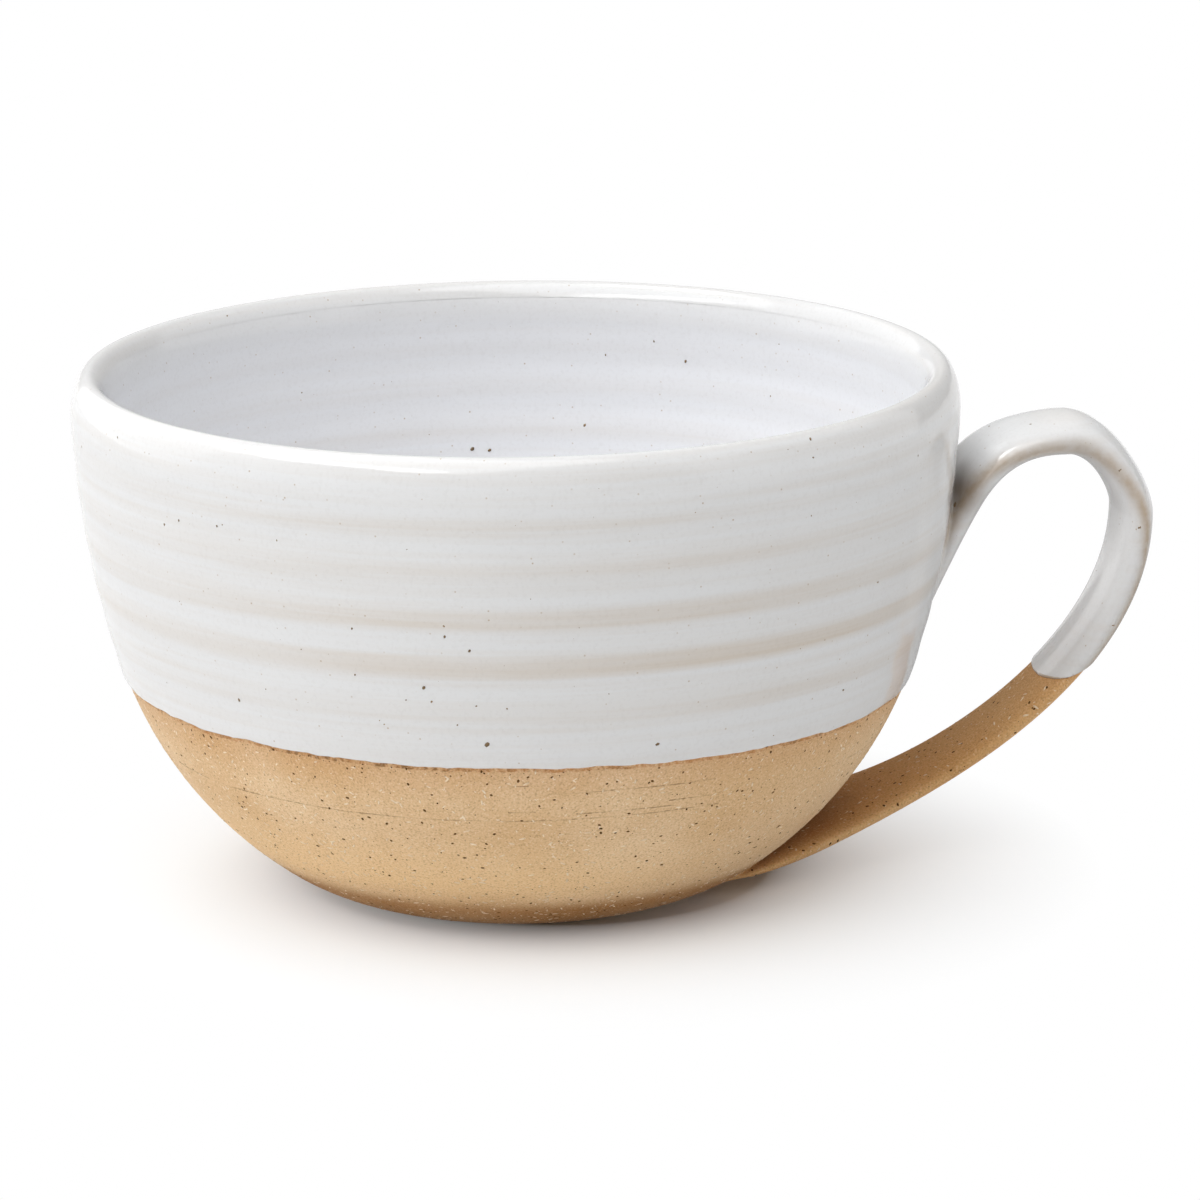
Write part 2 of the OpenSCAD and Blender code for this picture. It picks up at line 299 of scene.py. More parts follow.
def unit(vectors):
    """Vectors at a length of one."""
    return vectors / np.maximum(np.linalg.norm(vectors, axis=-1, keepdims=True), 1e-9)


def run_along(points):
    """How far along a line of points each one lies."""
    return np.concatenate([[0], np.cumsum(np.linalg.norm(np.diff(points, axis=0), axis=1))])


def soft_turn(start, corner, end, count):
    """Rows of points from start to end that turn softly before they reach a corner."""
    t = np.linspace(0, 1, count).reshape(-1, *[1] * np.ndim(start))
    return (1 - t) ** 2 * start + 2 * t * (1 - t) * corner + t ** 2 * end


def rounded(corner, before, after, radius):
    """A soft corner in place of a sharp one."""
    corner, before, after = (np.array(p, float) for p in (corner, before, after))
    return soft_turn(corner + unit(before - corner) * radius, corner, corner + unit(after - corner) * radius, 6)


def outward(points, closed):
    """Normals of an outline that runs with its solid on the left."""
    ahead = np.roll(points, -1, 0) - points
    behind = points - np.roll(points, 1, 0)
    if not closed:
        ahead[-1], behind[0] = behind[-1], ahead[0]
    along = unit(unit(ahead) + unit(behind))
    return np.column_stack([along[:, 1], -along[:, 0]])


def smooth(x, low, high):
    """A smooth step from 0 at low to 1 at high."""
    t = np.clip((np.asarray(x, float) - low) / (high - low), 0, 1)
    return t * t * (3 - 2 * t)


# Turned pieces

def new_tree(name, inputs):
    """A node tree with a geometry, a material and other inputs, which are given by kind, and those inputs."""
    tree = bpy.data.node_groups.new(name, "GeometryNodeTree")
    tree.interface.new_socket("Geometry", in_out="OUTPUT", socket_type="NodeSocketGeometry")
    for kind, names in {"Geometry": ["Geometry"], **inputs, "Material": ["Material"]}.items():
        for title in names:
            tree.interface.new_socket(title, in_out="INPUT", socket_type="NodeSocket" + kind)
    return tree, add(tree, "NodeGroupInput").outputs


def close_tree(tree, geometry, material):
    """Ends a node tree in real, smooth and painted geometry."""
    real = add(tree, "GeometryNodeRealizeInstances", {"Geometry": geometry})
    even = add(tree, "GeometryNodeSetShadeSmooth", {"Geometry": real})
    painted = add(tree, "GeometryNodeSetMaterial", {"Geometry": even, "Material": material})
    add(tree, "NodeGroupOutput", {"Geometry": painted})
    return tree


def turned_tree():
    """Node tree that spins an outline round Z, and gives it rings and an uneven dip line."""
    tree, given = new_tree("Turned form", {
        "Int": ["Segments"],
        "Float": ["Ring pitch", "Ring height", "Ring depth", "Dip tilt", "Dip wave", "Seed"]})
    outline = add(tree, "GeometryNodeMeshToCurve", {"Mesh": given["Geometry"]})
    circle = add(tree, "GeometryNodeCurvePrimitiveCircle", {"Resolution": given["Segments"]})
    step = add(tree, MATH, {0: math.tau, 1: given["Segments"]}, operation="DIVIDE")
    turn = add(tree, MATH, {0: add(tree, "GeometryNodeInputIndex"), 1: step}, operation="MULTIPLY")
    path = add(tree, STORE, {"Geometry": circle, "Name": "turn", "Value": turn},
               data_type="FLOAT", domain="POINT")
    spun = add(tree, "GeometryNodeCurveToMesh", {"Curve": path, "Profile Curve": outline})
    turn, ring, edge = [add(tree, FIELD, {"Name": name}, data_type="FLOAT") for name in ("turn", "ring", "edge")]
    spot, inward, uphill = [add(tree, FIELD, {"Name": name}, data_type="FLOAT_VECTOR")
                            for name in ("spot", "inward", "uphill")]
    around = add(tree, "ShaderNodeVectorRotate", {"Vector": (1.0, 0.0, 0.0), "Angle": turn}, rotation_type="Z_AXIS")

    # The rings wander a little round the wall, as a hand does
    height = add(tree, "ShaderNodeSeparateXYZ", {0: spot}).outputs[2]
    raised = add(tree, VECTOR, {0: spot, 1: (0.0, 0.0, 40.0), 2: around}, operation="MULTIPLY_ADD")
    wander = add(tree, NOISE, {"Vector": raised, "W": given["Seed"], "Scale": 0.9, "Detail": 1.0},
                 noise_dimensions="4D")
    rise = add(tree, MATH, {0: height, 1: given["Ring height"]}, operation="SUBTRACT")
    count = add(tree, MATH, {0: rise, 1: given["Ring pitch"]}, operation="DIVIDE")
    phase = add(tree, MATH, {0: wander, 1: 0.3, 2: count}, operation="MULTIPLY_ADD")
    swing = add(tree, MATH, {0: phase, 1: math.tau, 2: -0.15 * math.tau}, operation="MULTIPLY_ADD")
    swing = add(tree, MATH, {0: swing}, operation="COSINE")
    ridge = add(tree, MATH, {0: swing, 1: 0.5, 2: 0.5}, operation="MULTIPLY_ADD")
    thin = add(tree, MATH, {0: ridge, 1: ring}, operation="MULTIPLY")
    furrow = add(tree, MATH, {0: ring, 1: thin}, operation="SUBTRACT")
    press = add(tree, MATH, {0: furrow, 1: given["Ring depth"]}, operation="MULTIPLY")

    # The dip line leans towards the handle and wavers
    waver = add(tree, NOISE, {"Vector": around, "W": given["Seed"], "Scale": 5.0, "Detail": 5.0, "Roughness": 0.68},
                noise_dimensions="4D")
    waver = add(tree, MATH, {0: waver, 1: 4.0, 2: -2.0}, operation="MULTIPLY_ADD")
    wave = add(tree, MATH, {0: waver, 1: given["Dip wave"]}, operation="MULTIPLY")
    lean = add(tree, "ShaderNodeSeparateXYZ", {0: around}).outputs[0]
    wave = add(tree, MATH, {0: lean, 1: given["Dip tilt"], 2: wave}, operation="MULTIPLY_ADD")
    slide = add(tree, MATH, {0: wave, 1: edge}, operation="MULTIPLY")

    pressed = add(tree, VECTOR, {0: inward, 1: press, 2: spot}, operation="MULTIPLY_ADD")
    slid = add(tree, VECTOR, {0: uphill, 1: slide, 2: pressed}, operation="MULTIPLY_ADD")
    place = add(tree, "ShaderNodeVectorRotate", {"Vector": slid, "Angle": turn}, rotation_type="Z_AXIS")
    shaped = add(tree, "GeometryNodeSetPosition", {"Geometry": spun, "Position": place})
    marked = add(tree, STORE, {"Geometry": shaped, "Name": "thin", "Value": thin}, data_type="FLOAT", domain="POINT")
    merged = add(tree, "GeometryNodeMergeByDistance", {"Geometry": marked, "Distance": 1e-6})
    return close_tree(tree, merged, given["Material"])


def baked(name, mesh, tree, values):
    """What a node tree makes of a mesh, which it uses up, as a plain object."""
    source = linked("source", mesh)
    modifier = source.modifiers.new("Form", "NODES")
    modifier.node_group = tree
    for item in tree.interface.items_tree:
        if item.item_type == "SOCKET" and item.in_out == "INPUT" and item.name in values:
            modifier[item.identifier] = values[item.name]
    graph = bpy.context.evaluated_depsgraph_get()
    made = bpy.data.meshes.new_from_object(source.evaluated_get(graph), depsgraph=graph)
    source.modifiers.remove(modifier)
    bpy.data.objects.remove(source)
    bpy.data.meshes.remove(mesh)
    made.name = name
    return linked(name, made)


def turned(name, outline, attributes, closed, material):
    """A piece turned from an outline in millimetres, which runs with its solid on the left."""
    sizes, coat = bpy.context.scene.mug_bowl, bpy.context.scene.mug_glaze
    wall, _ = bowl_curves(millimetres(sizes), millimetres(coat))
    count = len(outline)
    edges = [(i, i + 1) for i in range(count - 1)] + ([(count - 1, 0)] if closed else [])
    mesh = bpy.data.meshes.new("outline")
    mesh.from_pydata([(r * MM, 0, z * MM) for r, z in outline], edges, [])
    slope = np.interp(outline[:, 1], wall[:, 1], wall[:, 2])
    ways = {"spot": outline * MM, "inward": -outward(outline, closed),
            "uphill": np.column_stack([np.cos(slope), np.sin(slope)])}
    for key, pairs in ways.items():
        mark(mesh, key, np.insert(pairs, 1, 0.0, axis=1))
    for key, values in attributes.items():
        mark(mesh, key, values)
    piece = baked(name, mesh, bpy.data.node_groups.get("Turned form") or turned_tree(), {
        "Segments": SEGMENTS, "Ring pitch": sizes.ring_pitch, "Ring height": sizes.ring_height,
        "Ring depth": sizes.ring_depth, "Dip tilt": coat.dip_tilt, "Dip wave": coat.dip_wave,
        "Seed": float(SEED), "Material": material})
    for key in (*ways, "ring", "edge"):
        piece.data.attributes.remove(piece.data.attributes[key])
    face_outwards(piece.data)
    return piece


def face_outwards(mesh):
    """Turns a closed mesh's faces outwards if it encloses a negative volume."""
    mesh.calc_loop_triangles()
    points = np.empty(len(mesh.vertices) * 3)
    mesh.vertices.foreach_get("co", points)
    points = points.reshape(-1, 3)
    corners = np.empty(len(mesh.loop_triangles) * 3, np.int32)
    mesh.loop_triangles.foreach_get("vertices", corners)
    a, b, c = (points[corners[i::3]] for i in range(3))
    if np.einsum("ij,ij->i", a, np.cross(b, c)).sum() < 0:
        mesh.flip_normals()


def ride(piece, slot, *nodes):
    """Seats a finished piece on the mug's body in place of its solids."""
    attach(piece, BODY)
    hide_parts(*nodes)


# The handle

def bezier(p, t):
    """Points and directions of a cubic curve."""
    t = np.asarray(t)[:, None]
    p = [np.array(q, float) for q in p]
    spots = (1 - t) ** 3 * p[0] + 3 * (1 - t) ** 2 * t * p[1] + 3 * (1 - t) * t ** 2 * p[2] + t ** 3 * p[3]
    ways = (1 - t) ** 2 * (p[1] - p[0]) + 2 * (1 - t) * t * (p[2] - p[1]) + t ** 2 * (p[3] - p[2])
    return spots, ways


class Strap:
    """The pulled strap as a family of rails that run along its surface."""

    # Share of the rise that feathers, share of the drop before its pressed end, how late the tail flares,
    # how round its end is, and how full the section is: 2 would be an oval
    FEATHER, PRESS, FLARE, END_ROUND, FULLNESS = 0.45, 0.8, 6.5, 0.7, 2.15
    SIDES = 64

    def __init__(self, bowl, glaze, h, grown):
        self.outer, _ = bowl_curves(bowl, glaze)
        rim, top = bowl.rim_diameter / 2, bowl.height
        foot = bowl.foot_diameter / 2
        root_z = top - h.root_drop
        wall = np.interp(root_z, self.outer[:, 1], self.outer[:, 0])
        root = np.array([wall - h.root_sink, root_z])
        crest = np.array([rim + h.crest_out, top - h.crest_drop])
        far = np.array([rim + h.reach, top - h.reach_drop])
        tail = np.array([foot + h.tail_out, h.tail_height])
        lean = np.array([math.sin(h.root_lean), math.cos(h.root_lean)])
        rise_way = np.array([math.cos(h.tail_rise), math.sin(h.tail_rise)])
        rise = (root, root + h.root_pull * lean, crest - [h.crest_pull_in, 0], crest)
        turn = (crest, crest + [h.crest_pull_out, 0], far + [0, h.reach_pull_up], far)
        drop = (far, far - [0, h.reach_pull_down], tail + h.tail_pull * rise_way, tail)
        t1, t2, t3 = np.linspace(0, 1, 80), np.linspace(0, 1, 51)[1:], np.linspace(0, 1, 141)[1:]
        grow = np.sin(np.pi / 2 * np.minimum(1, t1 / self.FEATHER))
        late = np.maximum(0, (t1 - self.FEATHER) / (1 - self.FEATHER))
        pressed = np.maximum(0, (t3 - self.PRESS) / (1 - self.PRESS)) ** 2
        widths = [h.root_tip_width + (h.root_width - h.root_tip_width) * grow
                  + (h.strap_width - h.root_width) * late,
                  np.full(len(t2), h.strap_width),
                  (h.strap_width + (h.tail_width - h.strap_width) * t3 ** self.FLARE)
                  * np.sqrt(1 - self.END_ROUND * pressed)]
        depths = [h.root_tip_thickness + (h.root_thickness - h.root_tip_thickness) * grow
                  + (h.strap_thickness - h.root_thickness) * late,
                  np.full(len(t2), h.strap_thickness),
                  h.strap_thickness + (h.tail_thickness - h.strap_thickness) * t3
                  - (h.tail_thickness - h.tail_tip_thickness) * pressed]
        parts = [bezier(p, t) for p, t in ((rise, t1), (turn, t2), (drop, t3))]
        spots = np.vstack([p[0] for p in parts])
        ways = np.vstack([p[1] for p in parts])
        widths, depths = np.concatenate(widths), np.concatenate(depths)
        over_crest = np.exp(-((spots[:, 0] - crest[0] - 1) / 5) ** 2) * smooth(spots[:, 1], far[1], crest[1])
        depths += h.crest_swell * over_crest

        # Both ends run on into the clay, so that every rail enters it
        into_wall = spots[0] + np.linspace(6, 0.5, 8)[:, None] * [-0.55, -0.83]
        into_heel = spots[-1] + np.linspace(0.5, 5, 8)[:, None] * [-0.93, 0.36]
        spots = np.vstack([into_wall, spots, into_heel])
        ways, widths, depths = [np.concatenate([np.repeat(v[:1], 8, 0), v, np.repeat(v[-1:], 8, 0)])
                                for v in (unit(ways), widths, depths)]

        # Rails round the section, with the side away from the fingers where the sine is positive
        self.a = np.linspace(0, math.tau, self.SIDES, endpoint=False)
        self.out = np.sin(self.a)
        across, through = [np.sign(v) * np.abs(v) ** (2 / self.FULLNESS) for v in (np.cos(self.a), self.out)]
        n = (depths[:, None] / 2 + grown) * through[None]
        x = spots[:, :1] - ways[:, 1:] * n
        bend = (widths[:, None] / 2 + grown) * across[None] / spots[:, :1]
        self.rails = np.stack([x * np.cos(bend), x * np.sin(bend), spots[:, 1:] + ways[:, :1] * n], -1)
        self.along = run_along(spots)

    def at(self, k, s):
        """Points of one rail at distances s along the strap's middle."""
        return np.stack([np.interp(s, self.along, self.rails[:, k, i]) for i in range(3)], -1)

    def surface(self, run):
        """Points of all rails at distances along the strap's middle, of which each rail has its own."""
        return np.stack([self.at(k, run[..., k]) for k in range(self.SIDES)], -2)

    def wall_gap(self, points, proud):
        """How far points lie outside the bowl's clay, less proud."""
        r, z = np.hypot(points[..., 0], points[..., 1]), points[..., 2]
        table = moved(self.outer, proud)
        gaps = np.full(r.shape, 1e9)
        for (r0, z0), (r1, z1) in zip(table[:-1], table[1:]):
            dr, dz = r1 - r0, z1 - z0
            t = np.clip(((r - r0) * dr + (z - z0) * dz) / (dr * dr + dz * dz), 0, 1)
            er, ez = r - r0 - t * dr, z - z0 - t * dz
            d = np.hypot(er, ez) * np.sign(er * dz - ez * dr)
            gaps = np.where(np.abs(d) < np.abs(gaps), d, gaps)
        return gaps

    def on_wall(self, turn, z, proud):
        """The point of the bowl's outside at a turn round Z and a height."""
        table = moved(self.outer, proud)
        r = np.interp(z, table[:, 1], table[:, 0])
        return np.stack([r * np.cos(turn), r * np.sin(turn), z], -1)

    def landing(self, proud, at_root, reach_strap, reach_wall, rows, lowest=0.25, sunk=0.04):
        """Rows of a smoothed joint, from the wall to the strap, and where each rail leaves it."""
        middle = self.along[len(self.along) // 2]
        dense = np.linspace(self.along[0 if at_root else -1], middle, 1500)
        hits = np.empty(self.SIDES)
        for k in range(self.SIDES):
            inside = np.nonzero(self.wall_gap(self.at(k, dense), proud) <= 0)[0]
            hits[k] = dense[inside[-1] if len(inside) else 0]
        for _ in range(3):
            hits = (np.roll(hits, 1) + 2 * hits + np.roll(hits, -1)) / 4
        corner = self.surface(hits)
        r, z = np.hypot(corner[:, 0], corner[:, 1]), corner[:, 2]
        steep = np.maximum(np.sin(np.interp(z, self.outer[:, 1], self.outer[:, 2])), 0.25)
        # The footprint unrolled, with its outward normals
        u, v = np.arctan2(corner[:, 1], corner[:, 0]) * r, z / steep
        du, dv = np.roll(u, -1) - np.roll(u, 1), np.roll(v, -1) - np.roll(v, 1)
        size = np.maximum(np.hypot(du, dv), 1e-6)
        nu, nv = dv / size, -du / size
        if (nu * (u - u.mean()) + nv * (v - v.mean())).sum() < 0:
            nu, nv = -nu, -nv
        wall_z = np.maximum((v + nv * reach_wall) * steep, lowest)
        wall = self.on_wall((u + nu * reach_wall) / r, wall_z, proud - sunk)
        leave = hits + (reach_strap if at_root else -reach_strap)
        return soft_turn(wall, corner, self.surface(leave), rows), leave


def lofted(name, rows, material, attributes, cap_ends=True):
    """A tube from rows of points in millimetres, capped at both ends or joined end to end."""
    count, sides = rows.shape[:2]
    points = rows.reshape(-1, 3)
    grid = np.arange(count * sides).reshape(count, sides)
    a, b = grid[:-1], np.roll(grid[:-1], -1, 1)
    c, d = np.roll(grid[1:], -1, 1), grid[1:]
    faces = np.stack([a, b, c, d], -1).reshape(-1, 4).tolist()
    first, last = grid[0].tolist(), grid[-1].tolist()
    after_first, after_last = first[1:] + first[:1], last[1:] + last[:1]
    tips = [rows[0].mean(0), rows[-1].mean(0)] if cap_ends else []
    if cap_ends:
        faces += [(p, q, len(points)) for p, q in zip(after_first, first)]
        faces += [(p, q, len(points) + 1) for p, q in zip(last, after_last)]
    else:
        faces += zip(last, after_last, after_first, first)
    mesh = bpy.data.meshes.new(name)
    mesh.from_pydata((np.vstack([points, *[t[None] for t in tips]]) * MM).tolist(), [], faces)
    for key, values in attributes.items():
        mark(mesh, key, np.concatenate([np.ravel(values), np.zeros(len(tips))]))
    # The caps lie inside the clay, and flat ones leave the shading of the sides alone
    mesh.polygons.foreach_set("use_smooth", [len(face) == 4 for face in faces])
    mesh.materials.append(material)
    face_outwards(mesh)
    return linked(name, mesh)


# Materials

def new_material(name):
    """A new material and its empty node tree."""
    material = bpy.data.materials.new(name)
    material.use_nodes = True
    material.node_tree.nodes.clear()
    return material, material.node_tree


def per_metre(size):
    """How many features of a size in millimetres fit in a metre."""
    return 1000.0 / size


def weighted(tree, share, *ramps):
    """A share times some ramps, each given by its source, two values of that source and the weights there."""
    for source, low, high, at_low, at_high in ramps:
        weight = add(tree, RAMP, {0: source, 1: low, 2: high, 3: at_low, 4: at_high})
        share = add(tree, MATH, {0: share, 1: weight}, operation="MULTIPLY")
    return share


def fired(tree, sockets):
    """Ends a material in a fired surface."""
    shader = add(tree, "ShaderNodeBsdfPrincipled", {"IOR": FIRED_IOR, **sockets})
    add(tree, "ShaderNodeOutputMaterial", {"Surface": shader})


# Scratches that the trimming tool left in the clay: turn round Z from and to in degrees, height in millimetres
SCRATCHES = ((197, 294, 24.1), (267, 292, 28.6), (260, 264, 29.9), (285, 293, 25.9), (271, 286, 25.0),
             (261, 265, 25.6), (30, 62, 26.4), (104, 168, 23.3), (140, 156, 27.6), (318, 340, 24.9))


def stoneware(name, light, dark):
    """Bare fired stoneware: matt and sandy, buff in clouds, with level scratches, toasted edges, painted shade and a
    paler heel that is partly painted light.
    """
    found = bpy.data.materials.get(name)
    if found:
        return found
    clay = bpy.context.scene.mug_clay
    material, tree = new_material(name)
    place = add(tree, "ShaderNodeTexCoord").outputs["Object"]
    side, _, height = add(tree, "ShaderNodeSeparateXYZ", {0: place}).outputs
    painted_shade, above, turn = [add(tree, "ShaderNodeAttribute", attribute_name=key).outputs["Fac"]
                          for key in ("painted_shade", "above", "turn")]

    # Clouds of lighter and darker clay some 18 mm across, dents of 5 mm, lumps of 0.8 mm and sand of 0.3 mm
    cloud, dents, lumps, sand = [add(tree, NOISE, {"Vector": place, "Scale": per_metre(size), "Detail": detail})
                                 for size, detail in ((18, 4.0), (5, 1.0), (0.8, 2.0), (0.3, 2.0))]
    pale = add(tree, RAMP, {0: cloud, 1: 0.32, 2: 0.68})
    # Painted shade, patchy with the clouds
    painted_shade_share = weighted(tree, painted_shade, (cloud, 0.3, 0.7, 0.7, 1.0))
    dark_sand = add(tree, RAMP, {0: sand, 1: 0.47, 2: 0.3, 3: 0.0, 4: 0.4})
    pale_sand = add(tree, RAMP, {0: sand, 1: 0.54, 2: 0.7, 3: 0.0, 4: 0.22})

    # Level scratches some 0.2 mm high, which fade in and out
    scratched = 0.0
    for start, end, level in SCRATCHES:
        line = add(tree, MATH, {0: cloud, 1: 0.8 * MM, 2: (level - 0.4) * MM}, operation="MULTIPLY_ADD")
        on_line = add(tree, MATH, {0: height, 1: line, 2: 0.1 * MM}, operation="COMPARE")
        on_turn = add(tree, MATH, {0: turn, 1: math.radians(start + end) / 2, 2: math.radians(end - start) / 2},
                      operation="COMPARE")
        cut = add(tree, MATH, {0: on_line, 1: on_turn}, operation="MULTIPLY")
        scratched = add(tree, MATH, {0: scratched, 1: cut}, operation="MAXIMUM")
    scratched = weighted(tree, scratched, (dents, 0.36, 0.6, 0.15, 0.8), (lumps, 0.38, 0.58, 0.2, 1.0))

    # A toasted line along the edge of the glaze, seared in bits, and a weaker glow below it
    line = add(tree, RAMP, {0: above, 1: -0.24 * MM, 2: -0.1 * MM})
    seared = weighted(tree, line, (dents, 0.45, 0.6, 0.0, 1.0), (lumps, 0.5, 0.6, 0.0, 0.85))
    line = weighted(tree, line, (lumps, 0.35, 0.6, 0.3, 0.85))
    glow = add(tree, RAMP, {0: above, 1: -6 * MM, 2: -0.3 * MM, 3: 0.0, 4: 0.28})
    flashed = add(tree, MATH, {0: line, 1: glow}, operation="MAXIMUM")

    # The heel is paler from 6 to 21 mm up, on the side away from the handle: partly scraped clay, partly painted light
    scraped_and_lit = weighted(tree, 0.75, (height, 6 * MM, 10.5 * MM, 0.0, 1.0), (height, 12 * MM, 21 * MM, 1.0, 0.0),
                       (side, 0.0, 30 * MM, 1.0, 0.0))

    body = add(tree, MIX, {0: pale, 6: tuple(dark), 7: tuple(light)}, data_type="RGBA")
    for share, shade in ((scraped_and_lit, clay.scraped_and_lit), (painted_shade_share, clay.painted_shade_clay), (flashed, clay.flash), (seared, clay.umber),
                         (dark_sand, clay.umber), (pale_sand, clay.grog), (scratched, clay.umber)):
        body = add(tree, MIX, {0: share, 6: body, 7: tuple(shade)}, data_type="RGBA")
    rough = add(tree, RAMP, {0: cloud, 1: 0.3, 2: 0.7, 3: 0.74, 4: 0.88})
    relief = add(tree, MATH, {0: scratched, 1: -0.4, 2: lumps}, operation="MULTIPLY_ADD")
    relief = add(tree, MATH, {0: sand, 1: 0.6, 2: relief}, operation="MULTIPLY_ADD")
    bump = add(tree, "ShaderNodeBump", {"Height": relief, "Strength": 0.6, "Distance": 0.14 * MM})
    fired(tree, {"Base Color": body, "Roughness": rough, "Normal": bump})
    return material


def white_glaze(name, white, banding):
    """Glossy stoneware glaze: even white where thick, greige where it is thin over rings and edges."""
    found = bpy.data.materials.get(name)
    if found:
        return found
    glaze = bpy.context.scene.mug_glaze
    material, tree = new_material(name)
    place = add(tree, "ShaderNodeTexCoord").outputs["Object"]
    side, _, height = add(tree, "ShaderNodeSeparateXYZ", {0: place}).outputs
    thin, painted_light, rust, pool_and_shade, above = [add(tree, "ShaderNodeAttribute", attribute_name=key).outputs["Fac"]
                                     for key in ("thin", "painted_light", "rust", "pool_and_shade", "above")]

    # Patches some 45 mm across, swells of 7 mm, crumbs of 1.6 mm and a fine mottle of 0.6 mm
    patch, swell, crumbs, mottle = [add(tree, NOISE, {"Vector": place, "Scale": per_metre(size), "Detail": detail})
                                    for size, detail in ((45, 3.0), (7, 1.0), (1.6, 4.0), (0.6, 2.0))]
    # Level streaks about 1.6 mm high and 70 mm long
    level = add(tree, VECTOR, {0: place, 1: (per_metre(70), per_metre(70), per_metre(1.6))}, operation="MULTIPLY")
    streak = add(tree, NOISE, {"Vector": level, "Scale": 1.0, "Detail": 4.0, "Roughness": 0.6})

    # Thin over the rings, most of all at mid height, and thicker on the side away from the handle
    tan = weighted(tree, 1.0, (thin, 0.35, 1.0, 0.0, 1.0), (patch, 0.36, 0.62, 0.7, 1.0), (streak, 0.3, 0.65, 0.7, 1.0),
                   (height, 42 * MM, 47 * MM, 0.25, 1.0), (height, 50 * MM, 62 * MM, 1.0, 0.3),
                   (side, -62 * MM, -15 * MM, 0.5, 1.0))
    veil = add(tree, RAMP, {0: streak, 1: 0.42, 2: 0.7, 3: 0.0, 4: 0.25})
    tan = add(tree, MATH, {0: tan, 1: veil}, operation="ADD")
    tan = add(tree, MATH, {0: tan, 1: banding}, operation="MULTIPLY")

    # Broken brown along edges, and a warm line where the coat ends
    broken = weighted(tree, rust, (crumbs, 0.25, 0.6, 0.6, 1.0))
    hem = weighted(tree, 1.0, (above, 0.4 * MM, 0.1 * MM, 0.0, 1.0), (crumbs, 0.4, 0.6, 0.0, 0.6))

    # Faint freckles up to 0.35 mm, one in some 2 mm
    cells = add(tree, CELLS, {"Vector": place, "Scale": per_metre(1.5)})
    pick = add(tree, "ShaderNodeSeparateColor", {0: cells.outputs["Color"]})
    freckles = weighted(tree, 1.0, (cells, 0.12, 0.05, 0.0, 1.0), (pick, 0.35, 0.95, 0.0, 0.65))
    grey = add(tree, RAMP, {0: mottle, 1: 0.5, 2: 0.75, 3: 0.0, 4: 0.05})

    # The liner runs into the dip coat over the first 6 mm below the lip
    inside = add(tree, RAMP, {0: above, 1: 0.5 * MM, 2: 6.5 * MM})
    body = add(tree, MIX, {0: inside, 6: tuple(glaze.white), 7: tuple(white)}, data_type="RGBA")
    # Painted light whitens the handle's arm, and painted shade darkens the pockets by its upper joint
    for share, shade in ((tan, glaze.thin), (painted_light, glaze.painted_light_white), (broken, glaze.rust), (pool_and_shade, glaze.pooled_and_shaded),
                         (hem, glaze.rust), (freckles, glaze.rust), (grey, glaze.pooled_and_shaded)):
        body = add(tree, MIX, {0: share, 6: body, 7: tuple(shade)}, data_type="RGBA")
    rough = add(tree, RAMP, {0: patch, 1: 0.3, 2: 0.7, 3: 0.07, 4: 0.13})
    relief = add(tree, MATH, {0: mottle, 1: 0.05, 2: swell}, operation="MULTIPLY_ADD")
    bump = add(tree, "ShaderNodeBump", {"Height": relief, "Strength": 0.25, "Distance": 0.3 * MM})
    fired(tree, {"Base Color": body, "Roughness": rough, "Normal": bump})
    return material


def grain(name, first, second, roughness, gloss):
    """Small grains and melts: each a little lighter or darker than the next."""
    found = bpy.data.materials.get(name)
    if found:
        return found
    material, tree = new_material(name)
    place = add(tree, "ShaderNodeTexCoord").outputs["Object"]
    # The shade changes over 2 mm, so most grains have one of their own
    shade = add(tree, NOISE, {"Vector": place, "Scale": per_metre(2.0)})
    body = add(tree, MIX, {0: shade, 6: tuple(first), 7: tuple(second)}, data_type="RGBA")
    fired(tree, {"Base Color": body, "Roughness": roughness, "Specular IOR Level": gloss})
    return material


# Operators, one for each piece

def bare(above):
    """Where clay shows: below the dip line, and short of its wavering edge."""
    return 1 - smooth(above, -0.9 * MM, -0.4 * MM)


def pitted(front, above):
    """Where pits sit: over the bare clay, and thickest along the edge of the glaze."""
    return front + 7 * smooth(above, -0.8 * MM, -0.5 * MM) * (1 - smooth(above, -0.2 * MM, 0))


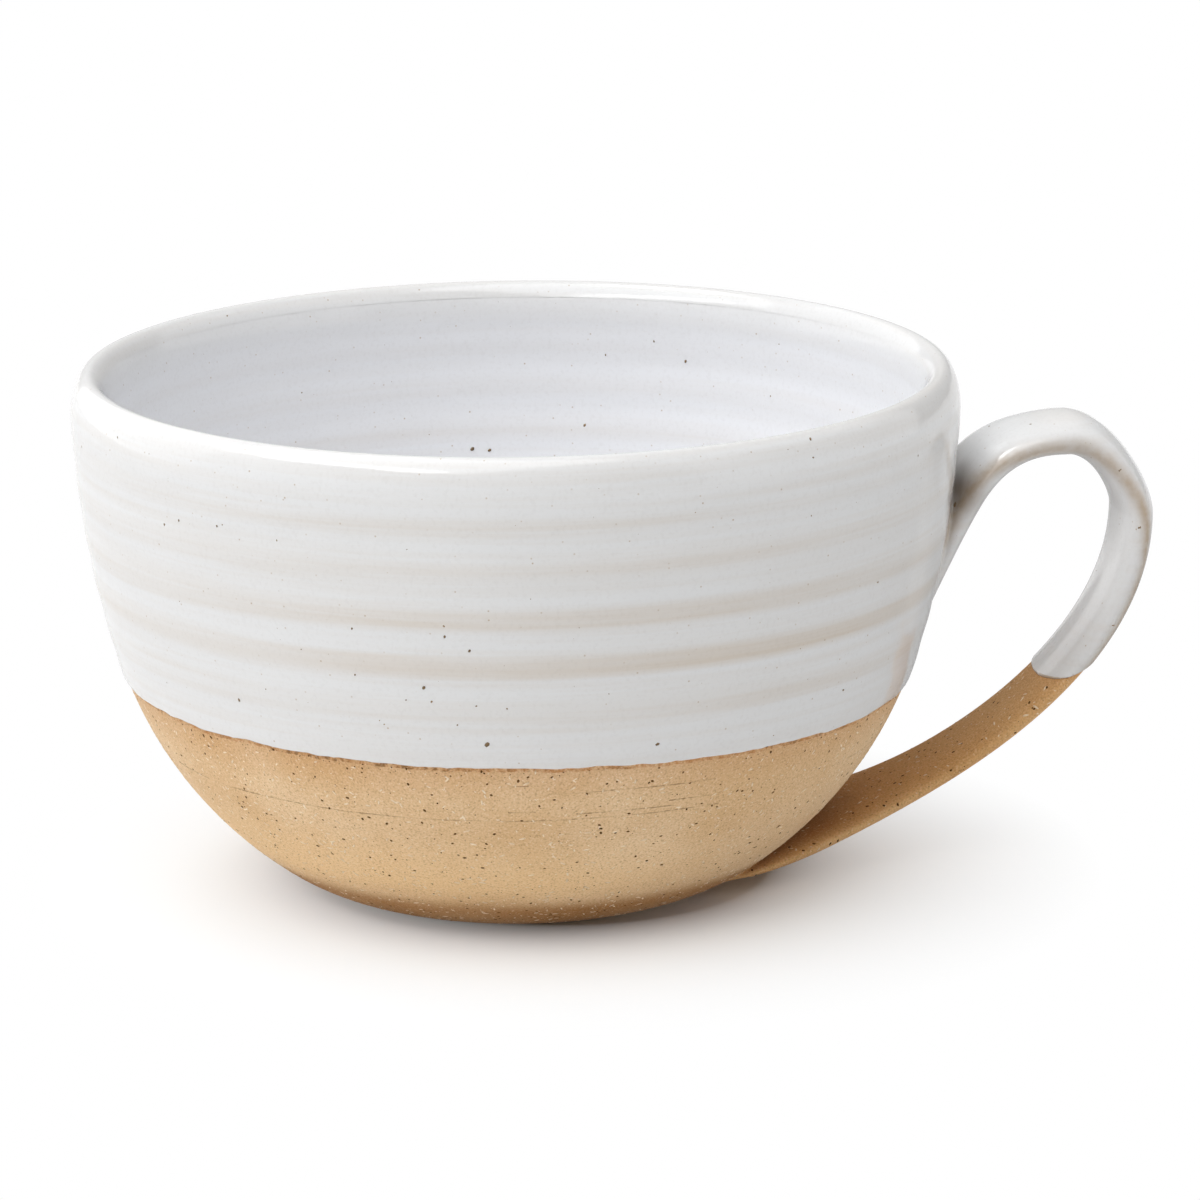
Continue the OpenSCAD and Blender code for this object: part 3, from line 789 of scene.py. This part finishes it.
class MUG_OT_thrown_bowl(bpy.types.Operator):
    """Turns the clay bowl, with its trimmed foot"""
    bl_idname = "mug.thrown_bowl"
    bl_label = "Thrown bowl"

    def execute(self, context):
        bowl, glaze, _ = settings()
        clay = context.scene.mug_clay
        outer, inner = bowl_curves(bowl, glaze)
        foot, hollow, soft = bowl.foot_diameter / 2, bowl.foot_hollow, bowl.foot_round
        ring_in = foot - bowl.foot_ring_width
        base = [(share * ring_in, hollow) for share in (0, 0.35, 0.7)]
        inside = rounded((ring_in - 2 * hollow, hollow), base[-1], (ring_in, 0), 2 * soft)
        seat_in = rounded((ring_in, 0), (ring_in - 2 * hollow, hollow), (foot, 0), soft)
        seat_out = rounded((foot, 0), (ring_in, 0), outer[4, :2], soft)
        wall = outer[outer[:, 0] > seat_out[-1, 0] + 0.3][:, :2]
        # Under the glaze fewer rows will do
        covered = wall[:, 1] > glaze.dip_height + 6
        wall = wall[~covered | (np.arange(len(wall)) % 3 == 0)]
        lip = lip_oval(bowl, glaze, 0, 0, math.pi, 17)[1:-1]
        floor = [(share * inner[0, 0], inner[0, 1]) for share in (0.6, 0.3, 0)]
        outline = np.vstack([base, inside, seat_in, seat_out, wall, lip, inner[::-3, :2], floor])
        above = np.full(len(outline), CLEAR)
        first = len(base) + len(inside) + len(seat_in)
        last = first + len(seat_out) + len(wall)
        run = run_along(outline)
        dip = np.interp(glaze.dip_height, outline[first:last, 1], run[first:last])
        above[:last] = (run[:last] - dip) * MM
        rows = np.arange(len(outline))
        edge = np.where(rows < last, 1 - smooth(np.abs(run - dip), 0, 9), 0)
        flank = (rows >= first) & (rows < last) & (outline[:, 1] > 0.8)
        front = flank * bare(above)
        piece = turned("bare_clay_bowl", outline,
                       {"ring": np.zeros(len(outline)), "edge": edge, "above": above, "front": front,
                        # Painted shade: the clay darkens towards the foot, like a contact shadow
                        "painted_shade": 1.15 * flank * (1 - smooth(outline[:, 1], 5, 8.6)),
                        "pitted": flank * pitted(front, above)},
                       False, stoneware("Trimmed stoneware", clay.light, clay.dark))
        ride(piece, "bare_clay", "thrown_bowl")
        return {"FINISHED"}


class MUG_OT_dip_coat(bpy.types.Operator):
    """Turns the dip coat, from its wavering lower edge up and over the lip"""
    bl_idname = "mug.dip_coat"
    bl_label = "Dip coat"

    def execute(self, context):
        bowl, glaze, _ = settings()
        outer, _ = bowl_curves(bowl, glaze)
        t, wrap = glaze.thickness, glaze.lip_wrap
        part = outer[outer[:, 1] >= glaze.dip_height]
        skin, back = moved(part, t), moved(part, -OVERLAP)
        a = np.linspace(-math.pi / 2, 0, 7)[:-1]
        slope = part[0, 2]
        up, out = np.array([math.cos(slope), math.sin(slope)]), np.array([math.sin(slope), -math.cos(slope)])
        bead = [part[0, :2] + up * t * (1 + math.sin(v)) + out * t * math.cos(v) for v in a]
        skin = skin[np.linalg.norm(skin - part[0, :2], axis=1) > 1.2 * t]
        over = np.vstack([lip_oval(bowl, glaze, t, 0, wrap, 33)[1:],
                          *[lip_oval(bowl, glaze, t - d, wrap + a, wrap + a, 1) for d, a in LIP_LAP]])
        under = lip_oval(bowl, glaze, -OVERLAP, wrap, 0, 17)[:-1]
        outline = np.vstack([bead, skin, over, under, back[::-4]])
        shown = len(bead) + len(skin) + len(over)
        run = run_along(outline)
        back_run = np.linalg.norm(outline - outline[0], axis=1)
        run = np.where(np.arange(len(outline)) < shown + len(under), run, back_run)
        lip_z = bowl.height - bowl.lip_height
        ring = smooth(run, 1.5, 6) * (1 - smooth(outline[:, 1], lip_z - 4, lip_z + 1))
        ring[shown:] = 0
        front = (np.arange(len(outline)) < shown) & (outline[:, 1] < bowl.height - 0.4)
        piece = turned("dip_glaze_coat", outline,
                       {"ring": ring, "edge": 1 - smooth(run, 0, 9), "above": run * MM, "front": front},
                       True, white_glaze("Glossy white glaze", context.scene.mug_glaze.white, 1.0))
        ride(piece, "dip_glaze", "outer_glaze")
        return {"FINISHED"}


class MUG_OT_liner_coat(bpy.types.Operator):
    """Turns the coat that was poured into the bowl"""
    bl_idname = "mug.liner_coat"
    bl_label = "Liner coat"

    def execute(self, context):
        bowl, glaze, _ = settings()
        _, inner = bowl_curves(bowl, glaze)
        t, wrap = glaze.thickness, glaze.lip_wrap
        centre = np.array([[share * inner[0, 0], inner[0, 1]] for share in (0, 0.3, 0.65)])
        back = np.vstack([centre - [0, OVERLAP], moved(inner, OVERLAP)[::4]])
        hidden = lip_oval(bowl, glaze, -OVERLAP, math.pi, wrap - 0.12, 9)[1:]
        lip = np.vstack([*[lip_oval(bowl, glaze, t - d, wrap - a, wrap - a, 1) for d, a in reversed(LIP_LAP)],
                         lip_oval(bowl, glaze, t, wrap, math.pi, 13)])
        skin = moved(inner, -t)[::-1][1:]
        outline = np.vstack([back, hidden, lip, skin, (centre + [0, t])[::-1]])
        first = len(back) + len(hidden)
        lip_z = bowl.height - bowl.lip_height
        ring = smooth(outline[:, 1], 14, 24) * (1 - smooth(outline[:, 1], lip_z - 4, lip_z + 1))
        front = np.arange(len(outline)) >= first
        run = run_along(outline)
        piece = turned("liner_glaze_coat", outline,
                       {"ring": ring * front, "edge": np.zeros(len(outline)),
                        "above": (0.5 + np.maximum(run - run[first], 0)) * MM, "front": front},
                       False, white_glaze("Glossy white liner", context.scene.mug_glaze.liner_white, 0.3))
        ride(piece, "liner_glaze", "liner_glaze")
        return {"FINISHED"}


class MUG_OT_pulled_handle(bpy.types.Operator):
    """Lofts the clay handle, with its tail smeared onto the heel"""
    bl_idname = "mug.pulled_handle"
    bl_label = "Pulled handle"

    def execute(self, context):
        bowl, glaze, handle = settings()
        clay = context.scene.mug_clay
        strap = Strap(bowl, glaze, handle, 0.0)
        reach = handle.tail_fillet
        under = smooth(strap.out, -0.2, 0.6)
        tail, leave = strap.landing(0.0, False, reach * (0.35 + 0.65 * under), reach * (0.3 + 0.7 * under), 16)
        s = np.linspace(0, 1, 240)[1:, None]
        run = leave[None] * (1 - s) + strap.along[2] * s
        rows = np.concatenate([tail, strap.surface(run)])
        above = (rows[..., 2] - glaze.handle_dip_height) * MM
        middle = strap.along[90]
        full_run = np.concatenate([np.repeat(leave[None], len(tail), 0), run])
        above = np.where(full_run < middle, CLEAR, above)
        # Painted shade on the finger side, which faces the bowl
        painted_shade = 0.36 * smooth(-strap.out, -0.5, 0.7) * smooth(rows[..., 2], 2, 22)
        # Painted shade, darkest in the crease between the tail and the bowl
        painted_shade += 1.1 * (1 - smooth(rows[..., 0], 43, 54)) * smooth(-strap.out, 0.1, 0.9)
        front = (rows[..., 2] > 0.8) * bare(above)
        piece = lofted("bare_clay_handle", rows,
                       stoneware("Toasted stoneware", clay.handle_light, clay.handle_dark),
                       {"above": above, "painted_shade": painted_shade, "front": front, "pitted": pitted(front, above)})
        ride(piece, "handle_clay", "pulled_handle", "lower_joint_slip")
        return {"FINISHED"}


class MUG_OT_handle_coat(bpy.types.Operator):
    """Lofts the glaze on the handle, from its smoothed root to its dip line"""
    bl_idname = "mug.handle_coat"
    bl_label = "Handle coat"

    def execute(self, context):
        bowl, glaze, handle = settings()
        t = glaze.thickness
        strap, clay = Strap(bowl, glaze, handle, t), Strap(bowl, glaze, handle, -OVERLAP)
        reach = handle.root_fillet
        # The root ends above the dip line, with its edge sunk in the dip coat
        root, leave = strap.landing(t, True, reach, reach, 16, glaze.dip_height + 1.6, 0.3)
        rng = np.random.default_rng(SEED)
        waver = np.zeros(strap.SIDES)
        for wave in (1, 2, 3, 5):
            waver += rng.normal(0, 0.25 / wave) * np.cos(wave * strap.a + rng.uniform(0, math.tau))
        # It ran lower on the finger side than on the outer side
        waver += strap.out * np.where(strap.out > 0, 2.1, 0.7)
        ends = np.empty(strap.SIDES)
        s = np.linspace(strap.along[len(strap.along) // 2], strap.along[-1], 2000)
        for k in range(strap.SIDES):
            z = strap.at(k, s)[:, 2]
            ends[k] = s[np.nonzero(z > glaze.handle_dip_height + waver[k])[0][-1]]
        s = np.linspace(0, 1, 220)[1:, None]
        run = leave[None] * (1 - s) + (ends[None] - t) * s
        v = np.linspace(0, math.pi / 2, 6)[1:, None]
        spot, share = ends - t + t * np.sin(v), np.cos(v)[..., None]
        bead = share * strap.surface(spot) + (1 - share) * clay.surface(spot)
        inner = clay.surface(np.linspace(ends - t, strap.along[4], 40))
        rows = np.concatenate([root, strap.surface(run), bead, inner])
        along = np.concatenate([np.repeat(leave[None], len(root), 0), run, np.repeat(ends[None], len(bead), 0),
                                np.full((len(inner), strap.SIDES), ends.max())])
        above = np.maximum(ends[None] - along, 0) * MM
        above[-len(inner):] = CLEAR
        # The glaze breaks brown along both edges: near the wall at the root, inside at the crest, outside on the arm
        lean = np.interp(along, strap.along[[20, 50, 75, 90, 115, 150]], np.radians([-42, -24, 12, 20, 4, -34]))
        off = np.minimum(np.abs(strap.a - math.pi - lean),
                         np.abs((strap.a + math.pi) % math.tau - math.pi + lean))
        fade = np.interp(along, strap.along[[10, 30, 60, 90, 130]], [0.3, 0.72, 0.66, 0.5, 0.72])
        breadth = np.interp(along, strap.along[[30, 55, 90, 130]], [0.46, 0.36, 0.46, 0.36])
        rust = fade * np.exp(-(off / breadth) ** 2)
        # It pools brown in the two pockets beside the upper joint, and is painted darker there as the shade of those
        # recesses
        pocket = np.array([bowl.rim_diameter / 2 - 0.2, 6, bowl.height - 20.4])
        away = np.linalg.norm((np.abs(rows) - pocket) * [1, 0.45, 1], axis=-1)
        pool_and_shade = 0.8 * (1 - smooth(away, 0, 6)) ** 1.2
        # Painted light: the glaze is painted whiter inside the arm and over the shoulder, where the lamps leave it dark
        painted_light = smooth(-strap.out, 0, 0.7) * smooth(along, strap.along[95], strap.along[125])
        painted_light *= 1 - 0.9 * smooth(along, strap.along[155], strap.along[180])
        painted_light += 0.9 * smooth(strap.out, 0, 0.7) * (1 - smooth(along, strap.along[62], strap.along[80]))
        front = (along < ends.max() - 1) & (rows[..., 0] < bowl.rim_diameter / 2 + handle.reach - 0.5)
        piece = lofted("handle_glaze_coat", rows,
                       white_glaze("Glossy white glaze", context.scene.mug_glaze.white, 1.0),
                       {"above": above, "painted_light": painted_light, "rust": rust, "pool_and_shade": pool_and_shade, "front": front}, cap_ends=False)
        ride(piece, "dip_glaze", "handle_glaze", "upper_joint_slip")
        return {"FINISHED"}


def scatter_tree():
    """Node tree that sets flat grains on a surface, at random and at given spots."""
    tree, given = new_tree("Grains on a surface", {
        "String": ["Where"], "Int": ["Seed"],
        "Float": ["Density", "Smallest", "Largest", "Rarity", "Flatness", "Stretch"]})
    where = add(tree, FIELD, {"Name": given["Where"]}, data_type="FLOAT")
    density = add(tree, MATH, {0: where, 1: given["Density"]}, operation="MULTIPLY")
    loose = add(tree, "GeometryNodeDistributePointsOnFaces",
                {"Mesh": given["Geometry"], "Density": density, "Seed": given["Seed"]})
    facing = add(tree, STORE, {"Geometry": loose, "Name": "facing", "Value": loose.outputs["Normal"]},
                 data_type="FLOAT_VECTOR", domain="POINT")
    chance = add(tree, "FunctionNodeRandomValue", {"Seed": given["Seed"]}, data_type="FLOAT")
    few = add(tree, MATH, {0: chance, 1: given["Rarity"]}, operation="POWER")
    size = add(tree, RAMP, {0: few, 3: given["Smallest"], 4: given["Largest"]})
    sized = add(tree, STORE, {"Geometry": facing, "Name": "size", "Value": size}, data_type="FLOAT", domain="POINT")
    size = add(tree, FIELD, {"Name": "size"}, data_type="FLOAT")
    chosen = add(tree, MATH, {0: size, 1: 0.0}, operation="GREATER_THAN")
    spots = add(tree, "GeometryNodeMeshToPoints", {"Mesh": given["Geometry"], "Selection": chosen})
    points = add(tree, "GeometryNodeJoinGeometry", {0: sized})
    tree.links.new(spots.outputs[0], points.inputs[0])
    way = add(tree, FIELD, {"Name": "facing"}, data_type="FLOAT_VECTOR")
    upright = add(tree, "FunctionNodeAlignRotationToVector", {"Vector": way}, axis="Z")
    spin = add(tree, "FunctionNodeRandomValue", {0: (0.0, 0.0, 0.0), 1: (0.0, 0.0, math.pi), "Seed": given["Seed"]},
               data_type="FLOAT_VECTOR")
    spin = add(tree, "FunctionNodeEulerToRotation", {"Euler": spin})
    turn = add(tree, "FunctionNodeRotateRotation", {"Rotation": upright, "Rotate By": spin}, rotation_space="LOCAL")
    deep = add(tree, MATH, {0: size, 1: given["Flatness"]}, operation="MULTIPLY")
    longer = add(tree, "FunctionNodeRandomValue", {2: 1.0, 3: given["Stretch"], "Seed": given["Seed"]},
                 data_type="FLOAT")
    wide = add(tree, MATH, {0: size, 1: longer}, operation="MULTIPLY")
    scale = add(tree, "ShaderNodeCombineXYZ", {0: wide, 1: size, 2: deep})
    shape = add(tree, "GeometryNodeMeshIcoSphere", {"Radius": 1.0, "Subdivisions": 1})
    placed = add(tree, "GeometryNodeInstanceOnPoints",
                 {"Points": points, "Instance": shape, "Rotation": turn, "Scale": scale})
    return close_tree(tree, placed, given["Material"])


def strewn(name, surface, spots, material, slot, **values):
    """Grains over a piece's outer side, and at spots given by place, facing and size."""
    mesh = bpy.data.objects[surface].data.copy()
    old = len(mesh.vertices)
    mesh.vertices.add(len(spots))
    facing, size = np.zeros((len(mesh.vertices), 3)), np.zeros(len(mesh.vertices))
    for i, (place, way, wide) in enumerate(spots, old):
        mesh.vertices[i].co = place
        facing[i], size[i] = way, wide
    mark(mesh, "facing", facing)
    mark(mesh, "size", size)
    tree = bpy.data.node_groups.get("Grains on a surface") or scatter_tree()
    piece = baked(name, mesh, tree, {"Seed": SEED, "Material": material,
                                     **{key.capitalize(): value for key, value in values.items()}})
    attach(piece, BODY)


# The larger iron spots: turn round Z in degrees, height and half width in millimetres
DIP_SPOTS = ((-101.5, 36.9, 0.36), (-99, 49.1, 0.2), (-103.3, 51.3, 0.2), (-110.4, 35.4, 0.2), (-102.7, 42.9, 0.15),
             (-109.4, 45.5, 0.25), (-118.5, 46.8, 0.15), (-118.3, 53.8, 0.16), (-146.8, 64.8, 0.17),
             (-143.8, 66, 0.16), (-137, 66.4, 0.15), (-75.2, 70.1, 0.24), (-81.3, 56.1, 0.17), (-43.9, 54.1, 0.18),
             (-59, 48.5, 0.2), (-55.6, 42, 0.2), (-47.3, 38.4, 0.17), (-59.9, 34.1, 0.26), (-78.4, 35.7, 0.3),
             (-137.3, 48.1, 0.14), (-103.6, 48.6, 0.14), (-137.6, 40.1, 0.26), (-132.4, 42.7, 0.11),
             (-108.5, 43.4, 0.17), (-123, 40.9, 0.1), (-105.3, 39.9, 0.13), (-130.3, 48, 0.12),
             (-125.8, 49.8, 0.11), (-115.8, 40, 0.1))
LINER_SPOTS = ((89.8, 52.5, 0.3), (87.1, 52.2, 0.25), (72.2, 56.1, 0.3), (41, 63.4, 0.25), (56.3, 67.2, 0.22),
               (117.1, 63.8, 0.15), (103.5, 69.8, 0.14), (63.9, 71.6, 0.14))
# Pinholes on the handle: a point next to each, and its half width, in millimetres
HANDLE_SPOTS = ((64.9, -8.9, 56.4, 0.45), (76.2, -9.1, 64.5, 0.18), (86.1, -6.9, 62.4, 0.26), (90.2, -8.1, 60.5, 0.24),
                (94.9, -7.5, 51.5, 0.26), (94.6, -7.1, 46.5, 0.2), (92.7, -8.1, 44.3, 0.14), (89.5, -8.1, 36.5, 0.24),
                (86.9, -8, 34.1, 0.16), (82.7, -4.9, 31.2, 0.14), (80.6, -4.1, 29.1, 0.16), (70.7, 0.3, 64.2, 0.2),
                (72.8, -9.8, 62.9, 0.13), (78.9, -8.1, 65.8, 0.12), (84.2, -7.9, 65.7, 0.16), (85.3, 2.3, 35, 0.12))


def wall_spots(marks, curve, distance):
    """Places, facings and sizes of spots on a wall at a distance outside a curve of the bowl."""
    table, side = moved(curve, distance), math.copysign(1, distance)
    spots = []
    for turn, z, wide in marks:
        slope, turn = np.interp(z, curve[:, 1], curve[:, 2]), math.radians(turn)
        r = np.interp(z, table[:, 1], table[:, 0])
        way = Vector((math.cos(turn) * math.sin(slope), math.sin(turn) * math.sin(slope), -math.cos(slope)))
        spots.append((Vector((r * math.cos(turn), r * math.sin(turn), z)) * MM, way * side, wide * MM))
    return spots


def nearest_spots(marks, surface):
    """Places, facings and sizes of spots at the points of a piece next to given ones."""
    mesh = bpy.data.objects[surface].data
    front = mesh.attributes["front"].data
    shown = [v for v in mesh.vertices if front[v.index].value > 0.5]
    spots = []
    for x, y, z, wide in marks:
        point = min(shown, key=lambda v: (v.co - Vector((x, y, z)) * MM).length)
        spots.append((point.co - point.normal * OVERLAP * MM, point.normal, wide * MM))
    return spots


class MUG_OT_iron_spots(bpy.types.Operator):
    """Strews iron spots and pinholes over the dip coat, the liner and the handle's coat"""
    bl_idname = "mug.iron_spots"
    bl_label = "Iron spots"

    def execute(self, context):
        bowl, glaze, _ = settings()
        outer, inner = bowl_curves(bowl, glaze)
        shades = context.scene.mug_glaze
        iron = grain("Melted iron spot", shades.iron, shades.rust, 0.3, 0.4)
        skin = glaze.thickness - OVERLAP
        for name, coat, slot, given, density in (
                ("dip_iron_spots", "dip_glaze_coat", "dip_glaze", wall_spots(DIP_SPOTS, outer, skin), 9000),
                ("liner_iron_spots", "liner_glaze_coat", "liner_glaze", wall_spots(LINER_SPOTS, inner, -skin), 6000),
                ("handle_iron_spots", "handle_glaze_coat", "dip_glaze",
                 nearest_spots(HANDLE_SPOTS, "handle_glaze_coat"), 12000)):
            strewn(name, coat, given, iron, slot, where="front", density=density, smallest=0.05 * MM,
                   largest=0.2 * MM, rarity=4.0, flatness=0.25, stretch=1.5)
        return {"FINISHED"}


class MUG_OT_clay_grains(bpy.types.Operator):
    """Strews pale grog and dark pits over the bare clay of the bowl and the handle"""
    bl_idname = "mug.clay_grains"
    bl_label = "Grains in the clay"

    def execute(self, context):
        clay = context.scene.mug_clay
        grog = grain("Fired pale grog", clay.grog, clay.light, 0.7, 0.5)
        pit = grain("Burnt-out pit", clay.speck, clay.umber, 0.9, 0.05)
        for surface, slot, part, density in (("bare_clay_bowl", "bare_clay", "bowl", 420000),
                                             ("bare_clay_handle", "handle_clay", "handle", 200000)):
            strewn(part + "_grog", surface, [], grog, slot, where="front", density=density, smallest=0.06 * MM,
                   largest=0.19 * MM, rarity=2.0, flatness=0.3, stretch=3.2)
            strewn(part + "_pits", surface, [], pit, slot, where="pitted", density=140000, smallest=0.08 * MM,
                   largest=0.23 * MM, rarity=2.4, flatness=0.15, stretch=1.5, seed=SEED + 1)
        return {"FINISHED"}


# Lamps by their turn to the right of the camera and their height, both in degrees, their sides in metres and
# their power in watts: a large soft one high at the left front, a strip below it and a small one high behind
# at the left for crisp highlights, and two weak broad ones, behind at the left and at the right
LAMPS = (("Top light", -48, 64, (1.5, 1.3), 14.6), ("Strip light", -46, 38, (0.95, 0.18), 2.2),
         ("High light", -118, 69, (0.32, 0.32), 2.0), ("Left light", -120, 22, (1.6, 1.2), 4.7),
         ("Right light", 86, 22, (1.8, 1.4), 5.9))
# How far the lamps stand from the point that they face, and its height over the floor, in metres
LAMP_DISTANCE, LAMP_AIM = 1.15, 0.04


def set_camera(scene, s):
    """Sets up the camera, and tells which way is right in its view."""
    right = Vector((math.cos(s.turn), math.sin(s.turn), 0))
    back = Vector((math.cos(s.elevation) * math.sin(s.turn), -math.cos(s.elevation) * math.cos(s.turn),
                   math.sin(s.elevation)))
    tilted = math.cos(s.roll) * right + math.sin(s.roll) * back.cross(right)
    data = bpy.data.cameras.new("Camera")
    data.lens, data.sensor_width = s.focal, 36.0
    data.clip_start, data.clip_end = 0.05, 20.0
    scene.camera = linked("Camera", data)
    aim = right * s.aim_along + Vector((0, 0, s.aim_height))
    turn = Matrix((tilted, back.cross(tilted), back)).transposed().to_4x4()
    scene.camera.matrix_world = Matrix.Translation(aim + back * s.distance) @ turn
    scene.view_settings.view_transform = "Standard"
    return right


def set_lamps(right):
    """Sets up the lamps round the mug."""
    ahead = Vector((-right.y, right.x, 0))
    for name, turned_by, height, size, power in LAMPS:
        lamp = bpy.data.lights.new(name, "AREA")
        lamp.shape, lamp.size, lamp.size_y = "RECTANGLE", *size
        lamp.energy = power
        turned_by, height = math.radians(turned_by), math.radians(height)
        way = right * math.sin(turned_by) - ahead * math.cos(turned_by)
        way = way * math.cos(height) + Vector((0, 0, math.sin(height)))
        linked(name, lamp).matrix_world = Matrix.Translation(way * LAMP_DISTANCE + Vector((0, 0, LAMP_AIM))) @ \
            way.to_track_quat("Z", "Y").to_matrix().to_4x4()


def seen_rays(tree):
    """The kinds of ray, and those that come from the camera, straight or through glass."""
    rays = add(tree, "ShaderNodeLightPath").outputs
    return rays, add(tree, MATH, {0: rays["Is Camera Ray"], 1: rays["Is Transmission Ray"]}, operation="MAXIMUM")


def set_world(scene):
    """Sets up a room that is white to the camera, half as bright in the glaze and a weak light for all else."""
    scene.world = bpy.data.worlds.new("Studio")
    scene.world.use_nodes = True
    tree = scene.world.node_tree
    tree.nodes.clear()
    rays, seen = seen_rays(tree)
    mirrored = add(tree, MATH, {0: rays["Is Glossy Ray"], 1: 0.5}, operation="MULTIPLY")
    seen = add(tree, MATH, {0: seen, 1: mirrored}, operation="MAXIMUM")
    strength = add(tree, RAMP, {0: seen, 3: 0.12, 4: 1.0})
    sky = add(tree, "ShaderNodeBackground", {"Color": (1, 1, 1, 1), "Strength": strength})
    add(tree, "ShaderNodeOutputWorld", {"Surface": sky})


def white_paper(tone):
    """Matt paper that keeps the shadow near the mug and turns plain white around it."""
    material, tree = new_material("Matt white paper")
    rays, seen = seen_rays(tree)
    place = add(tree, "ShaderNodeTexCoord").outputs["Object"]
    span = add(tree, VECTOR, {0: place, 1: (7.5 * MM, 2 * MM, 0.0)}, operation="DISTANCE")
    far = add(tree, RAMP, {0: span, 1: 30.5 * MM, 2: 81 * MM})
    far = add(tree, MATH, {0: far, 1: 0.68}, operation="POWER")
    share = add(tree, MATH, {0: seen, 1: far}, operation="MULTIPLY")
    share = add(tree, MATH, {0: share, 1: rays["Is Glossy Ray"]}, operation="MAXIMUM")
    # In reflections the floor is dimmer near the handle, so that the handle stands out from it in the glaze
    right_side = add(tree, "ShaderNodeSeparateXYZ", {0: place}).outputs[0]
    dim = add(tree, RAMP, {0: span, 1: 170 * MM, 2: 400 * MM, 3: 0.4, 4: 1.0})
    bright = add(tree, RAMP, {0: right_side, 1: 60 * MM, 2: -80 * MM, 3: 0.0, 4: 1.0})
    dim = add(tree, MATH, {0: dim, 1: bright}, operation="MAXIMUM")
    level = add(tree, MIX, {0: rays["Is Glossy Ray"], 2: 1.0, 3: dim})
    paper = add(tree, "ShaderNodeBsdfDiffuse", {"Color": tuple(tone)})
    glow = add(tree, "ShaderNodeEmission", {"Color": (1, 1, 1, 1), "Strength": level})
    blend = add(tree, "ShaderNodeMixShader", {0: share, 1: paper, 2: glow})
    add(tree, "ShaderNodeOutputMaterial", {"Surface": blend})
    return material


class MUG_OT_stage(bpy.types.Operator):
    """Sets up the camera, the lights and the pale floor"""
    bl_idname = "mug.stage"
    bl_label = "Stage"

    def execute(self, context):
        stage = context.scene.mug_stage
        set_lamps(set_camera(context.scene, stage))
        set_world(context.scene)
        # The floor lies 0.02 mm lower than the foot
        half, level = stage.floor_size / 2, -0.02 * MM
        mesh = bpy.data.meshes.new("floor")
        mesh.from_pydata([(x * half, y * half, level) for x, y in ((-1, -1), (1, -1), (1, 1), (-1, 1))],
                         [], [(0, 1, 2, 3)])
        mesh.materials.append(white_paper(stage.floor_tone))
        floor = linked("floor", mesh)
        return {"FINISHED"}


PIECES = (MUG_OT_thrown_bowl, MUG_OT_dip_coat, MUG_OT_liner_coat, MUG_OT_pulled_handle, MUG_OT_handle_coat,
          MUG_OT_iron_spots, MUG_OT_clay_grains, MUG_OT_stage)


class MUG_PT_panel(bpy.types.Panel):
    """Lists the mug's pieces and sizes"""
    bl_idname = "MUG_PT_panel"
    bl_label = "Soup Mug"
    bl_space_type = "VIEW_3D"
    bl_region_type = "UI"
    bl_category = "Mug"

    def draw(self, context):
        for piece in PIECES:
            self.layout.operator(piece.bl_idname)
        for group in GROUPS:
            box = self.layout.box()
            for name in own_names(getattr(context.scene, group)):
                box.prop(getattr(context.scene, group), name)


def register():
    for cls in (*GROUPS.values(), *PIECES, MUG_PT_panel):
        bpy.utils.register_class(cls)
    for name, cls in GROUPS.items():
        setattr(bpy.types.Scene, name, bpy.props.PointerProperty(type=cls))


def unregister():
    for name in GROUPS:
        delattr(bpy.types.Scene, name)
    for cls in (MUG_PT_panel, *reversed(PIECES), *reversed(list(GROUPS.values()))):
        bpy.utils.unregister_class(cls)


def main():
    register()
    for piece in PIECES:
        group, name = piece.bl_idname.split(".")
        getattr(getattr(bpy.ops, group), name)()


if __name__ == "__main__":
    main()
